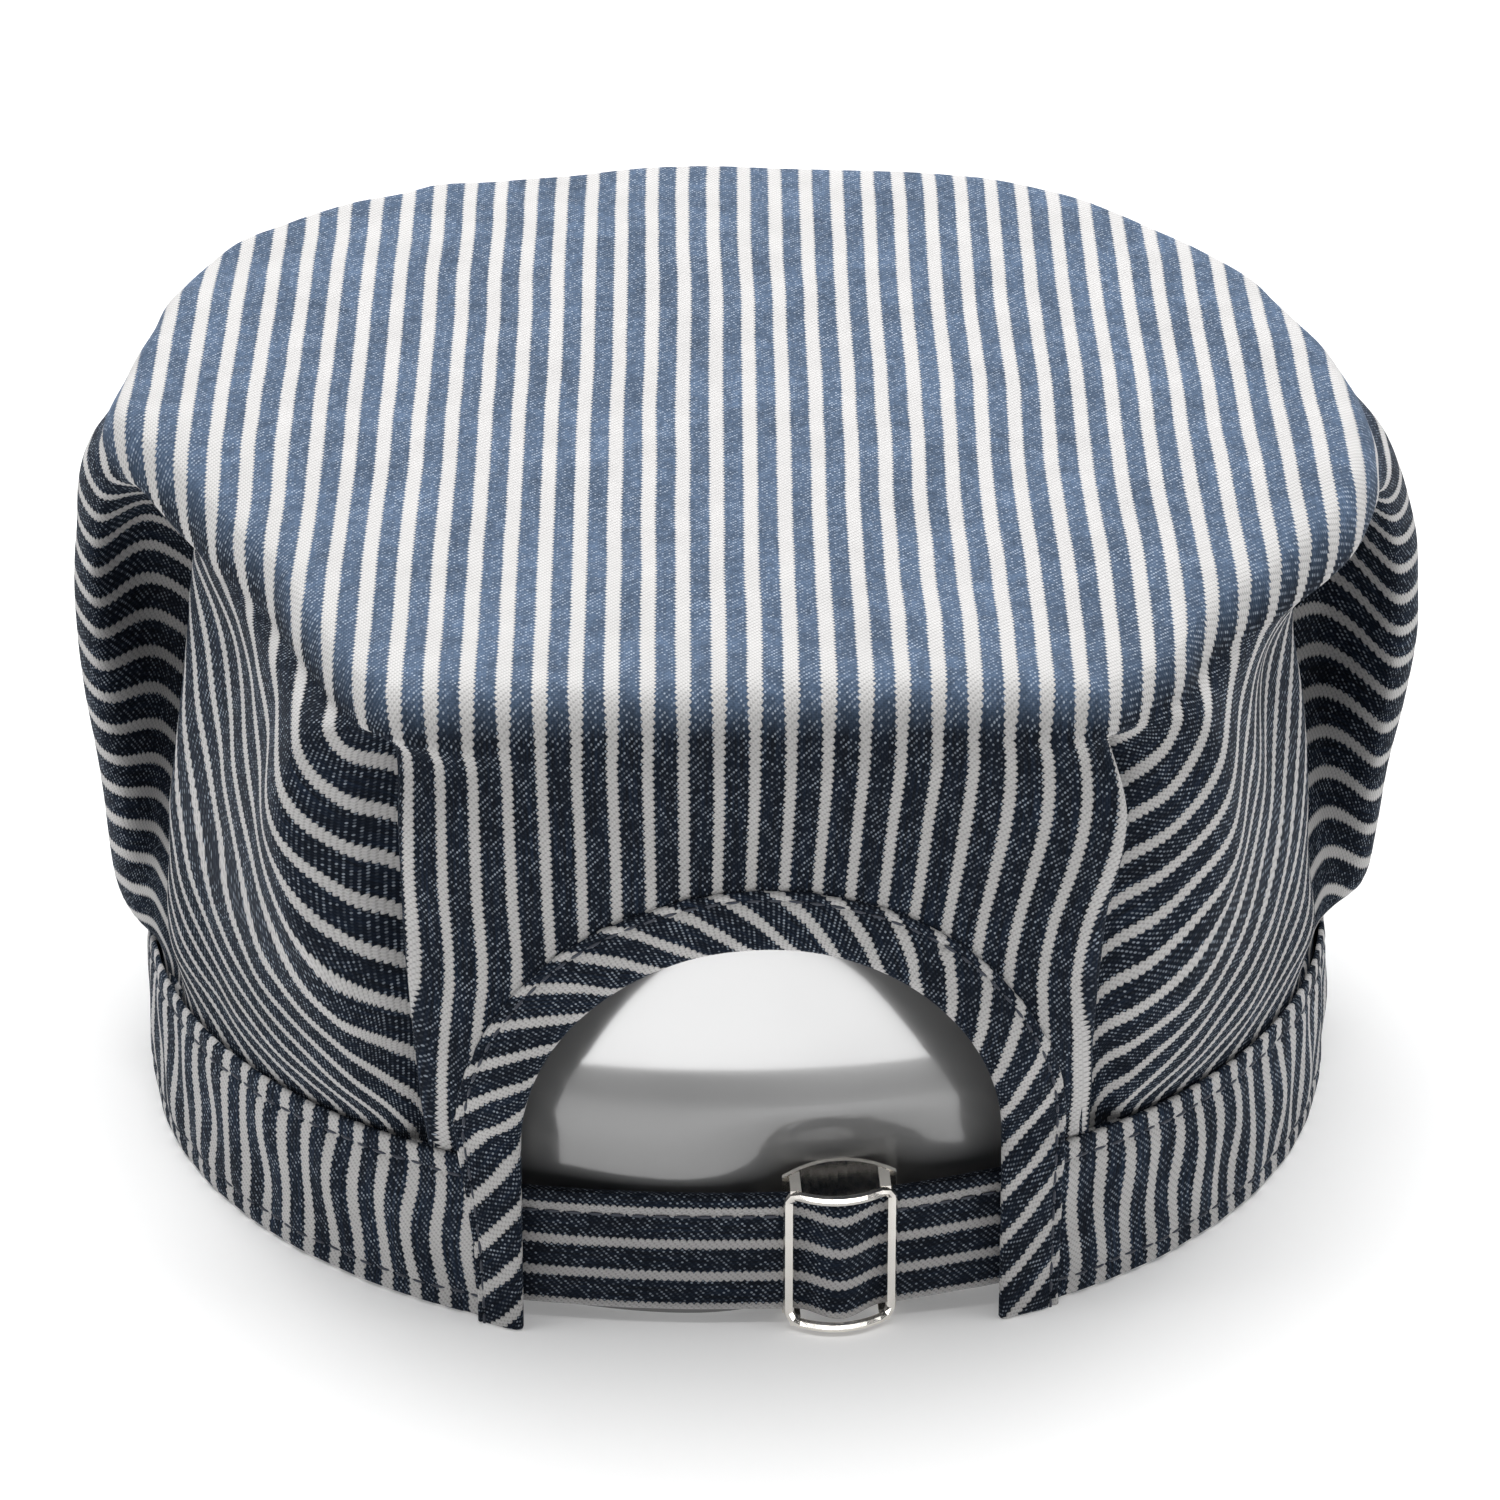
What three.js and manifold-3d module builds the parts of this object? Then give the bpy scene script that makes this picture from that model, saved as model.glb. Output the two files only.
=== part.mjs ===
// Train conductor hat of striped cloth, kept in shape by a thin plastic collar inside its band.
// Millimetres. X runs to the right seen from behind, Y forward to the peak, Z up from the rim.
import * as THREE from "three";
import { mergeVertices } from "three/addons/utils/BufferGeometryUtils.js";
import Module from "manifold-3d";

const wasm = await Module();
wasm.setup();

// Driving dimensions
const gap = 0.3;
const clothWall = 1.8;
const bandWall = 2.2;
const bandHeight = 26.5;
const rimHalfWidth = 92.5;
const rimHalfLength = 94.5;
const seamInset = 1.0;
const topHeight = 107.2;
const topRisePerMm = 1 / 41;
const topForwardShift = 10;
const topDish = 1.6;

// The cloth crown's folds, from the back centre round one side to the front centre. Each row is a
// fold that runs from the top's edge down to the seam: its plan place [out, forward] at each level,
// with the height of the top's edge there, and its turn round the seam from the back.
const levels = { high: 84, mid: 65, low: 46 };
const folds = [
  { fold: "back centre", rim: [0, -94.3, 104.2], high: [0, -93.6], mid: [0, -92.6], low: [0, -93.2], seam: 0 },
  { fold: "panel edge", rim: [48, -93, 103.5], high: [49, -92.5], mid: [49.5, -91], low: [49, -87.5], seam: 31.5 },
  { fold: "pleat root", rim: [53, -89, 102], high: [54.5, -84], mid: [55, -81], low: [53, -79.5], seam: 34.5 },
  { fold: "ridge", rim: [60, -84, 100.5], high: [66, -81], mid: [66.5, -79], low: [62, -78], seam: 40 },
  { fold: "flank", rim: [71, -54, 96], high: [76, -56], mid: [77.5, -52], low: [78.5, -51], seam: 55 },
  { fold: "turn", rim: [79, -27, 97], high: [83.5, -27], mid: [85, -27], low: [86, -30], seam: 66 },
  { fold: "valley", rim: [86, -15, 99], high: [81, -15], mid: [76, -13], low: [84, -20], seam: 74 },
  { fold: "bulge back", rim: [93.5, -6, 103], high: [96, -5], mid: [96, -4], low: [94, -7], seam: 80 },
  { fold: "side bulge", rim: [98, 10, 104], high: [104.8, 11], mid: [105.4, 9], low: [103, 5], seam: 90 },
  { fold: "bulge front", rim: [96, 27, 105], high: [101, 26], mid: [98.5, 23], low: [95, 18], seam: 100 },
  { fold: "front valley", rim: [94, 40, 104.5], high: [87, 34], mid: [81, 30], low: [85, 27], seam: 107 },
  { fold: "front turn", rim: [89, 52, 105], high: [88, 45], mid: [86, 39], low: [86, 36], seam: 114 },
  { fold: "front flank", rim: [77, 75, 106], high: [77, 67], mid: [76.5, 59], low: [77, 53], seam: 125 },
  { fold: "front ridge", rim: [58, 97, 107], high: [63, 89], mid: [63, 83], low: [61, 76.5], seam: 140 },
  { fold: "front root", rim: [51, 102, 107.5], high: [52, 93.5], mid: [52.5, 87.5], low: [52, 80.5], seam: 145.5 },
  { fold: "front edge", rim: [45, 106, 108], high: [47.5, 104], mid: [48.5, 97.5], low: [49, 88.5], seam: 148.5 },
  { fold: "front centre", rim: [0, 113.5, 108.5], high: [0, 112], mid: [0, 106], low: [0, 99.5], seam: 180 },
];
const columnsPerFold = 4;
const rowsPerLevel = 2;
const topRings = [
  { reach: 0.97, drop: 0.55 },
  { reach: 0.88, drop: 0.2 },
  { reach: 0.7, drop: 0 },
  { reach: 0.4, drop: 0 },
];

// The bound opening at the back, and the strap across it
const openingHalfWidth = 35.3;
const openingSpring = 30;
const openingHeight = 64.5;
const bindingWidth = 9.6;
const bindingLegWidth = 7;
const bindingProud = 0.6;
const bindingDepth = 2.4;
const strapWall = 1.7;
const strapBottom = 2.4;
const strapTop = 21.4;
const strapOuterY = -88.2;
const strapSag = 4.2;
const strapReach = 38;
const strapTilt = 1.3;
const slideCentre = 11.5;
const slideHalfWidth = 7.6;
const slideHalfHeight = 10.6;
const slideMiddleZ = 11.9;
const slideBar = 1.6;
const slideCorner = 1.6;
const slideTab = { width: 1.6, height: 1, inset: 0.6 };
const slideBow = 3;
const windowBulge = 4;
const plateBulge = 4.6;
const plateWall = 1;

// The peak and the shaping insert
const peakCornerTurn = 66;
const peakTip = 152;
const peakCornerHalfWidth = 87;
const peakWall = 3.6;
const peakEdgeWall = 2.4;
const peakRise = 5.5;
const insertWall = 1;
const insertHalfWidth = 87;
const insertHalfLength = 86;
const insertBend = 34;
const insertTop = 62;
const insertLean = 16;
const insertDent = 5.6;
const insertDentReach = 13;

const radians = THREE.MathUtils.degToRad;
const mix = THREE.MathUtils.lerp;

// Colours and surfaces
const denim = new THREE.MeshStandardMaterial({ color: 0x4a5a72, roughness: 0.9, metalness: 0 });
const nickel = new THREE.MeshStandardMaterial({ color: 0xb9b4aa, roughness: 0.3, metalness: 1 });
const plastic = new THREE.MeshStandardMaterial({ color: 0xdcdcda, roughness: 0.25, metalness: 0 });

// A closed solid through equal rings of points. It is capped at its first and last ring, or closed
// on itself where the rings go all the way round.
function skin(rings, closed = false) {
  const count = rings[0].length;
  const positions = rings.flat().flatMap((point) => point.toArray());
  const index = [];
  const last = closed ? rings.length : rings.length - 1;
  for (let i = 0; i < last; i += 1) {
    const next = (i + 1) % rings.length;
    for (let j = 0; j < count; j += 1) {
      const side = (j + 1) % count;
      const [a, b, c, d] = [i * count + j, next * count + j, next * count + side, i * count + side];
      index.push(a, b, c, a, c, d);
    }
  }
  if (!closed) {
    const end = (rings.length - 1) * count;
    for (let j = 1; j < count - 1; j += 1) {
      index.push(0, j, j + 1);
      index.push(end, end + j + 1, end + j);
    }
  }
  return facesOutward(positions, index);
}

// Turns the faces round where they enclose a negative volume.
function facesOutward(positions, index) {
  const at = (i) => new THREE.Vector3().fromArray(positions, 3 * i);
  let volume = 0;
  for (let i = 0; i < index.length; i += 3) {
    volume += at(index[i]).dot(at(index[i + 1]).cross(at(index[i + 2])));
  }
  if (volume < 0) {
    index.reverse();
  }
  const geometry = new THREE.BufferGeometry();
  geometry.setAttribute("position", new THREE.Float32BufferAttribute(positions, 3));
  geometry.setIndex(index);
  return geometry;
}

function toSolid(geometry) {
  const bare = geometry.clone();
  bare.deleteAttribute("normal");
  bare.deleteAttribute("uv");
  const merged = mergeVertices(bare);
  const vertProperties = Float32Array.from(merged.attributes.position.array);
  const triVerts = Uint32Array.from(merged.index.array);
  return new wasm.Manifold(new wasm.Mesh({ numProp: 3, vertProperties, triVerts }));
}

function fromSolid(solid) {
  const mesh = solid.getMesh();
  const geometry = new THREE.BufferGeometry();
  geometry.setAttribute("position", new THREE.BufferAttribute(mesh.vertProperties, 3));
  geometry.setIndex(new THREE.BufferAttribute(mesh.triVerts, 1));
  return geometry;
}

function ellipse(turn, halfWidth, halfLength, z) {
  return new THREE.Vector3(-halfWidth * Math.sin(turn), -halfLength * Math.cos(turn), z);
}

// The fold's places on one side, left -1 or right 1, from the top's edge down to the seam.
function foldLine(fold, side) {
  const [halfWidth, halfLength] = [rimHalfWidth - seamInset, rimHalfLength - seamInset];
  const seam = ellipse(radians(fold.seam), halfWidth, halfLength, bandHeight + gap);
  const between = Object.entries(levels).map(([level, z]) => {
    const [out, forward] = fold[level];
    return new THREE.Vector3(side * out, forward, z);
  });
  return [
    new THREE.Vector3(side * fold.rim[0], fold.rim[1], fold.rim[2]),
    ...between,
    new THREE.Vector3(-side * seam.x, seam.y, seam.z),
  ];
}

// The crown's outer face as rings of points, from the seam up to the ring next to its middle.
function crownFace() {
  const round = [
    ...folds.map((fold) => foldLine(fold, -1)),
    ...folds.slice(1, -1).reverse().map((fold) => foldLine(fold, 1)),
  ];
  const loops = round[0].map((point, level) => {
    const points = round.map((line) => line[level]);
    return new THREE.CatmullRomCurve3(points, true, "centripetal");
  });
  const columns = round.length * columnsPerFold;
  const rings = [];
  for (let row = 0; row <= (loops.length - 1) * rowsPerLevel; row += 1) {
    rings.push([]);
  }
  for (let column = 0; column < columns; column += 1) {
    const down = new THREE.CatmullRomCurve3(loops.map((loop) => loop.getPoint(column / columns)));
    rings.forEach((ring, row) => ring.push(down.getPoint(1 - row / (rings.length - 1))));
  }
  const rim = rings[rings.length - 1];
  for (const { reach, drop } of topRings) {
    rings.push(rim.map((edge) => {
      const x = edge.x * reach;
      const y = topForwardShift + (edge.y - topForwardShift) * reach;
      const flat = topHeight + topRisePerMm * y - topDish * (1 - reach);
      return new THREE.Vector3(x, y, mix(flat, edge.z, drop));
    }));
  }
  return rings;
}

// The cloth's inner face, one wall thickness behind the outer one.
function wallBehind(rings, wall) {
  return rings.map((ring, row) => ring.map((point, i) => {
    const before = ring[(i + ring.length - 1) % ring.length];
    const after = ring[(i + 1) % ring.length];
    const below = rings[Math.max(row - 1, 0)][i];
    const above = rings[Math.min(row + 1, rings.length - 1)][i];
    const normal = after.clone().sub(before).cross(above.clone().sub(below)).normalize();
    const inner = point.clone().addScaledVector(normal, wall);
    if (row === 0) {
      inner.z = point.z;
    }
    return inner;
  }));
}

function crownSolid() {
  const outer = crownFace();
  const inner = wallBehind(outer, clothWall);
  const count = outer[0].length;
  const rings = [...outer, ...inner];
  const positions = rings.flat().flatMap((point) => point.toArray());
  const index = [];
  const strip = (low, high, flip) => {
    for (let j = 0; j < count; j += 1) {
      const side = (j + 1) % count;
      const [a, b, c, d] = [low * count + j, low * count + side, high * count + side, high * count + j];
      index.push(...(flip ? [a, c, b, a, d, c] : [a, b, c, a, c, d]));
    }
  };
  for (let row = 0; row < outer.length - 1; row += 1) {
    strip(row, row + 1, false);
    strip(outer.length + row, outer.length + row + 1, true);
  }
  strip(outer.length, 0, false);
  [outer.length - 1, rings.length - 1].forEach((row, layer) => {
    const pole = positions.length / 3;
    const middle = rings[row].reduce((sum, point) => sum.add(point), new THREE.Vector3());
    positions.push(...middle.divideScalar(count).toArray());
    for (let j = 0; j < count; j += 1) {
      const ends = [row * count + j, row * count + (j + 1) % count];
      index.push(...(layer ? ends.reverse() : ends), pole);
    }
  });
  return facesOutward(positions, index);
}

// The back panel's outer face, which the binding follows: how far back it lies at a place in the
// opening's plane.
function panelY(x, z) {
  if (z < bandHeight) {
    return -rimHalfLength * Math.sqrt(1 - (x / rimHalfWidth) ** 2);
  }
  const edge = foldLine(folds[1], 1);
  const rows = foldLine(folds[0], 1).map((middle, i) => {
    return { z: middle.z, y: mix(middle.y, edge[i].y, (x / edge[i].x) ** 2) };
  });
  const upper = Math.max(rows.findIndex((row) => row.z <= z), 1);
  const [high, low] = [rows[upper - 1], rows[upper]];
  return mix(low.y, high.y, THREE.MathUtils.clamp((z - low.z) / (high.z - low.z), 0, 1));
}

// The opening's outline, grown outward by a distance: leg, arch, leg.
function openingOutline(grow, legGrow) {
  const points = [];
  const rise = openingHeight - openingSpring;
  const legSteps = 5;
  const archSteps = 24;
  for (let i = 0; i < legSteps; i += 1) {
    const t = i / legSteps;
    points.push([-(openingHalfWidth + mix(legGrow, grow, t * t)), openingSpring * t]);
  }
  for (let i = 0; i <= archSteps; i += 1) {
    const turn = Math.PI * (1 - i / archSteps);
    const x = (openingHalfWidth + grow) * Math.cos(turn);
    points.push([x, openingSpring + (rise + grow) * Math.sin(turn)]);
  }
  for (let i = legSteps - 1; i >= 0; i -= 1) {
    points.push([-points[i][0], points[i][1]]);
  }
  return points;
}

// What the opening and its binding take out of the crown and the band.
function openingCutter() {
  const [from, to] = [-rimHalfLength - 25, -rimHalfLength / 2];
  const outline = openingOutline(bindingWidth + gap, bindingLegWidth + gap);
  const corners = outline.map(([x, z]) => new THREE.Vector2(x, z || -1));
  const settings = { depth: to - from, bevelEnabled: false };
  const prism = new THREE.ExtrudeGeometry(new THREE.Shape(corners), settings);
  prism.rotateX(Math.PI / 2);
  prism.translate(0, to, 0);
  return toSolid(prism);
}

function crown() {
  return fromSolid(toSolid(crownSolid()).subtract(openingCutter()));
}

function band() {
  const steps = 80;
  const rings = [];
  for (let i = 0; i < steps; i += 1) {
    const turn = (i / steps) * 2 * Math.PI;
    const inner = [rimHalfWidth - bandWall, rimHalfLength - bandWall];
    rings.push([
      ellipse(turn, rimHalfWidth, rimHalfLength, 0),
      ellipse(turn, rimHalfWidth, rimHalfLength, bandHeight),
      ellipse(turn, ...inner, bandHeight),
      ellipse(turn, ...inner, 0),
    ]);
  }
  return fromSolid(toSolid(skin(rings, true)).subtract(openingCutter()));
}

function archBinding() {
  const inner = openingOutline(0, 0);
  const outer = openingOutline(bindingWidth, bindingLegWidth);
  const place = ([x, z], y) => new THREE.Vector3(x, panelY(x, z) + y, z);
  const rings = inner.map((near, i) => [
    place(near, -bindingProud),
    place(outer[i], -bindingProud),
    place(outer[i], bindingDepth),
    place(near, bindingDepth),
  ]);
  return skin(rings);
}

// Depth of the strap's outer face: where it would lie, and as it bulges through the slide's window.
function strapRest(x) {
  return strapOuterY + strapSag * (x / openingHalfWidth) ** 2;
}

function strapFace(x) {
  const offset = Math.abs(x - slideCentre) / (slideHalfWidth - slideBar / 2);
  return strapRest(x) - (offset < 1 ? windowBulge * Math.cos((offset * Math.PI) / 2) ** 2 : 0);
}

function strapPiece(from, to, steps, tilt) {
  const rings = [];
  for (let i = 0; i <= steps; i += 1) {
    const x = mix(from, to, i / steps);
    const lift = (tilt * i) / steps;
    const outer = strapFace(x);
    rings.push([
      new THREE.Vector3(x, outer, strapBottom + lift),
      new THREE.Vector3(x, outer, strapTop + lift),
      new THREE.Vector3(x, outer + strapWall, strapTop + lift),
      new THREE.Vector3(x, outer + strapWall, strapBottom + lift),
    ]);
  }
  return skin(rings);
}

// The slide: a bowed front frame and a rounded back plate, joined at four corners.
function slideBuckle() {
  const [w, h] = [slideHalfWidth, slideHalfHeight];
  const plateHalfWidth = w + slideBar / 2;
  const rest = (x) => strapRest(slideCentre + x);
  const barY = (x) => rest(x) - gap - slideBar / 2 - slideBow * (1 - (x / w) ** 2);
  const plateY = (x) => rest(x) + strapWall + gap + plateBulge * (1 - (x / plateHalfWidth) ** 2);
  const corner = slideCorner;
  const outline = new THREE.Path();
  outline.moveTo(-w + corner, -h).lineTo(w - corner, -h);
  outline.absarc(w - corner, -h + corner, corner, -Math.PI / 2, 0, false);
  outline.lineTo(w, h - corner).absarc(w - corner, h - corner, corner, 0, Math.PI / 2, false);
  outline.lineTo(-w + corner, h).absarc(-w + corner, h - corner, corner, Math.PI / 2, Math.PI, false);
  outline.lineTo(-w, -h + corner).absarc(-w + corner, -h + corner, corner, Math.PI, 1.5 * Math.PI, false);
  const [lengthSteps, wireSides] = [64, 8];
  const along = outline.getSpacedPoints(lengthSteps).slice(0, -1);
  const rings = along.map((point, i) => {
    const [before, after] = [along.at(i - 1), along[(i + 1) % along.length]];
    const sideways = new THREE.Vector2(after.y - before.y, before.x - after.x).normalize();
    const ring = [];
    for (let j = 0; j < wireSides; j += 1) {
      const turn = (j / wireSides) * 2 * Math.PI;
      const out = (slideBar / 2) * Math.cos(turn);
      ring.push(new THREE.Vector3(
        slideCentre + point.x + sideways.x * out,
        barY(point.x) + (slideBar / 2) * Math.sin(turn),
        slideMiddleZ + point.y + sideways.y * out,
      ));
    }
    return ring;
  });
  const frame = toSolid(skin(rings, true));

  const plateSteps = 12;
  const plateRings = [];
  for (let i = 0; i <= plateSteps; i += 1) {
    const x = mix(-plateHalfWidth, plateHalfWidth, i / plateSteps);
    const y = plateY(x);
    const [low, high] = [slideMiddleZ - h - slideBar / 2, slideMiddleZ + h + slideBar / 2];
    plateRings.push([
      new THREE.Vector3(slideCentre + x, y, low),
      new THREE.Vector3(slideCentre + x, y, high),
      new THREE.Vector3(slideCentre + x, y + plateWall, high),
      new THREE.Vector3(slideCentre + x, y + plateWall, low),
    ]);
  }
  let slide = frame.add(toSolid(skin(plateRings)));
  for (const tabX of [1 - w, w - 1]) {
    for (const end of [-1, 1]) {
      const [front, back] = [barY(tabX), plateY(tabX) + plateWall / 2];
      const tab = new THREE.BoxGeometry(slideTab.width, back - front, slideTab.height);
      const z = slideMiddleZ + end * (h + slideBar / 2 - slideTab.inset);
      tab.translate(slideCentre + tabX, (front + back) / 2, z);
      slide = slide.add(toSolid(tab));
    }
  }
  return fromSolid(slide);
}

function peak() {
  const across = 28;
  const along = 5;
  const rings = [];
  for (let i = 0; i <= across; i += 1) {
    const t = mix(-1, 1, i / across);
    const root = ellipse(Math.PI + radians(peakCornerTurn) * t, rimHalfWidth + gap, rimHalfLength + gap, 0);
    const cornerY = (rimHalfLength + gap) * Math.cos(radians(peakCornerTurn));
    const turn = (t * Math.PI) / 2;
    const edgeX = peakCornerHalfWidth * Math.sin(turn);
    const edge = new THREE.Vector3(edgeX, mix(cornerY, peakTip, Math.cos(turn)), 0);
    const under = [];
    const over = [];
    for (let j = 0; j <= along; j += 1) {
      const b = j / along;
      const point = root.clone().lerp(edge, b);
      const rise = peakRise * b * Math.cos(turn);
      under.push(point.clone().setZ(gap + rise));
      over.push(point.clone().setZ(gap + rise + mix(peakWall, peakEdgeWall, b * b)));
    }
    rings.push([...under, ...over.reverse()]);
  }
  return skin(rings);
}

function shapingInsert() {
  const steps = 72;
  const profile = [
    { z: gap, lean: 0 },
    { z: insertBend, lean: 0 },
    { z: insertTop, lean: insertLean },
  ];
  const face = (turn, { z, lean }, wall) => {
    const point = ellipse(turn, insertHalfWidth - lean - wall, insertHalfLength - lean - wall, z);
    if (point.y < 0) {
      point.y += insertDent * Math.exp(-(((point.x - slideCentre) / insertDentReach) ** 2));
    }
    return point;
  };
  const rings = [];
  for (let i = 0; i < steps; i += 1) {
    const turn = (i / steps) * 2 * Math.PI;
    const outer = profile.map((row) => face(turn, row, 0));
    const inner = profile.map((row) => face(turn, row, insertWall));
    rings.push([...outer, ...inner.reverse()]);
  }
  return skin(rings, true);
}

const hat = new THREE.Group();
function piece(name, geometry, material) {
  const mesh = new THREE.Mesh(geometry, material);
  mesh.name = name;
  hat.add(mesh);
}

piece("crown", crown(), denim);
piece("band", band(), denim);
piece("arch_binding", archBinding(), denim);
piece("peak", peak(), denim);
const slideEnd = slideCentre + slideHalfWidth;
piece("strap_long", strapPiece(-strapReach, slideEnd, 36, 0), denim);
piece("strap_short", strapPiece(slideEnd + gap, strapReach, 10, strapTilt), denim);
piece("slide_buckle", slideBuckle(), nickel);
piece("shaping_insert", shapingInsert(), plastic);

// The origin is the middle of the hat's box, on the surface that the rim rests on.
const box = new THREE.Box3().setFromObject(hat);
hat.position.set(-(box.min.x + box.max.x) / 2, -(box.min.y + box.max.y) / 2, -box.min.z);
hat.updateMatrixWorld(true);

export default hat;
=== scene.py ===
import math
from collections import namedtuple
import bpy
import numpy as np
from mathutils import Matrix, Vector, noise
from mathutils.bvhtree import BVHTree


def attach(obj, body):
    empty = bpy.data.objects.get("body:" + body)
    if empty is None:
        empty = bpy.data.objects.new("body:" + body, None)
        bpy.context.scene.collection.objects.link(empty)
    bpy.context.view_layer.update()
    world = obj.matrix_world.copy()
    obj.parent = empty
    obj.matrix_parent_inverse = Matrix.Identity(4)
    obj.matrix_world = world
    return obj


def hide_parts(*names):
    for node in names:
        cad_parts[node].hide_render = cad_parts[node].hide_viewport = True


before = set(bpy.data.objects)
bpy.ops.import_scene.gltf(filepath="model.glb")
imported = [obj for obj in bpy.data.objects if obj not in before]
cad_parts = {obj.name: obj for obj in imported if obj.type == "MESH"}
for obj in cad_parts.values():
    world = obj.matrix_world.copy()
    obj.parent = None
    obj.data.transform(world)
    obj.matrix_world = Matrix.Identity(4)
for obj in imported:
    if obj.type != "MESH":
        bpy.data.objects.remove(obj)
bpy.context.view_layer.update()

print("frame loaded")

# Sizes are in millimetres round the hat's own upright axis: X right seen from behind, Y forward.
# The axis stands a little behind the box's middle.
hatAxisY = -28.619
stripePitch = 5.1


def toRow(points):
    return (np.asarray(points, float) + np.array([0.0, hatAxisY, 0.0])) * 0.001


def wrapTurn(halfWidth, halfLength, turn, z):
    return np.array([halfWidth * math.sin(turn), -halfLength * math.cos(turn), z])


def addObject(name, data):
    made = bpy.data.objects.new(name, data)
    bpy.context.scene.collection.objects.link(made)
    return made


def makePiece(name, points, faces, material, cloth, attributes=None):
    mesh = bpy.data.meshes.new(name)
    mesh.from_pydata(toRow(points).tolist(), [], [tuple(int(i) for i in f) for f in faces])
    layer = mesh.uv_layers.new(name="cloth")
    corners = np.zeros(len(mesh.loops), np.int32)
    mesh.loops.foreach_get("vertex_index", corners)
    # cloth gives a place on the flat cloth for each point, or for each face corner
    values = cloth[corners] if len(cloth) == len(mesh.vertices) else cloth
    layer.data.foreach_set("uv", values.astype(np.float32).ravel())
    for key, values in (attributes or {}).items():
        layer = mesh.attributes.new(key, "FLOAT", "POINT")
        layer.data.foreach_set("value", np.asarray(values, np.float32))
    mesh.polygons.foreach_set("use_smooth", [True] * len(mesh.polygons))
    mesh.materials.append(material)
    mesh.update()
    return addObject(name, mesh)


def loftFaces(stations, around, closed=False):
    faces = []
    corners = []
    for i in range(stations if closed else stations - 1):
        here, there = i * around, (i + 1) % stations * around
        for j in range(around):
            k = (j + 1) % around
            faces.append((here + j, here + k, there + k, there + j))
            corners.append(((i, j), (i, j + 1), (i + 1, j + 1), (i + 1, j)))
    return faces, corners


def outward(points, faces):
    volume = 0.0
    for face in faces:
        a = points[face[0]]
        for i in range(1, len(face) - 1):
            volume += float(np.dot(a, np.cross(points[face[i]], points[face[i + 1]])))
    return volume > 0


# rings are stations by points around, cloth has one more place around than they have
def loft(name, rings, cloth, material, closed=False):
    rings = np.asarray(rings, float)
    cloth = np.asarray(cloth, float)
    stations, around = rings.shape[:2]
    points = rings.reshape(-1, 3)
    faces, corners = loftFaces(stations, around, closed)
    if not closed:
        last = (stations - 1) * around
        faces.append(tuple(range(around - 1, -1, -1)))
        corners.append(tuple((0, j) for j in range(around - 1, -1, -1)))
        faces.append(tuple(range(last, last + around)))
        corners.append(tuple((stations - 1, j) for j in range(around)))
    if not outward(points, faces):
        faces = [tuple(reversed(f)) for f in faces]
        corners = [tuple(reversed(c)) for c in corners]
    values = np.array([cloth[i, j] for corner in corners for i, j in corner])
    return makePiece(name, points, faces, material, values)


def newGroup(kind, name, inputs, outputs):
    group = bpy.data.node_groups.new(name, kind)
    for label, socketKind, value in inputs:
        socket = group.interface.new_socket(name=label, in_out="INPUT", socket_type="NodeSocket" + socketKind)
        if value is not None:
            socket.default_value = value
    for label, socketKind in outputs:
        group.interface.new_socket(name=label, in_out="OUTPUT", socket_type="NodeSocket" + socketKind)
    return group, group.nodes.new("NodeGroupInput"), group.nodes.new("NodeGroupOutput")


class Wiring:
    def __init__(self, tree):
        self.tree = tree

    # sets or links inputs, given in order or by name
    def fill(self, node, values):
        for key, value in values.items() if isinstance(values, dict) else enumerate(values):
            if isinstance(value, bpy.types.NodeSocket):
                self.tree.links.new(value, node.inputs[key])
            else:
                node.inputs[key].default_value = value
        return node

    def node(self, kind, values=(), **settings):
        node = self.tree.nodes.new(kind)
        for key, value in settings.items():
            setattr(node, key, value)
        return self.fill(node, values)

    def math(self, operation, *values):
        return self.node("ShaderNodeMath", values, operation=operation).outputs[0]

    def plus(self, a, b):
        return self.math("ADD", a, b)

    def minus(self, a, b):
        return self.math("SUBTRACT", a, b)

    def times(self, a, b):
        return self.math("MULTIPLY", a, b)

    def over(self, a, b):
        return self.math("DIVIDE", a, b)

    # how far a value is from the middle of two whole numbers
    def fromMiddle(self, value):
        return self.math("ABSOLUTE", self.minus(self.math("FRACT", value), 0.5))

    def join(self, x, y, z=0.0):
        return self.node("ShaderNodeCombineXYZ", (x, y, z)).outputs[0]

    def noise(self, vector, scale, detail=2.0, roughness=0.5):
        values = {"Vector": vector, "Scale": scale, "Detail": detail, "Roughness": roughness}
        return self.node("ShaderNodeTexNoise", values).outputs["Fac"]

    def ramp(self, value, low, high, toLow=0.0, toHigh=1.0):
        return self.node("ShaderNodeMapRange", (value, low, high, toLow, toHigh),
                         interpolation_type="SMOOTHSTEP").outputs[0]

    # inputs 0, 6 and 7 are the share and the two colours, output 2 is the colour
    def blend(self, share, a, b, kind="MIX"):
        values = {0: share, 6: a, 7: b}
        return self.node("ShaderNodeMix", values, data_type="RGBA", blend_type=kind).outputs[2]

    def shade(self, color, value):
        return self.blend(1.0, color, self.join(value, value, value), "MULTIPLY")

    def objectPlace(self):
        return self.node("ShaderNodeTexCoord").outputs["Object"]

    def bump(self, height, strength, distance):
        values = {"Strength": strength, "Distance": distance, "Height": height}
        return self.node("ShaderNodeBump", values).outputs[0]


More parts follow.
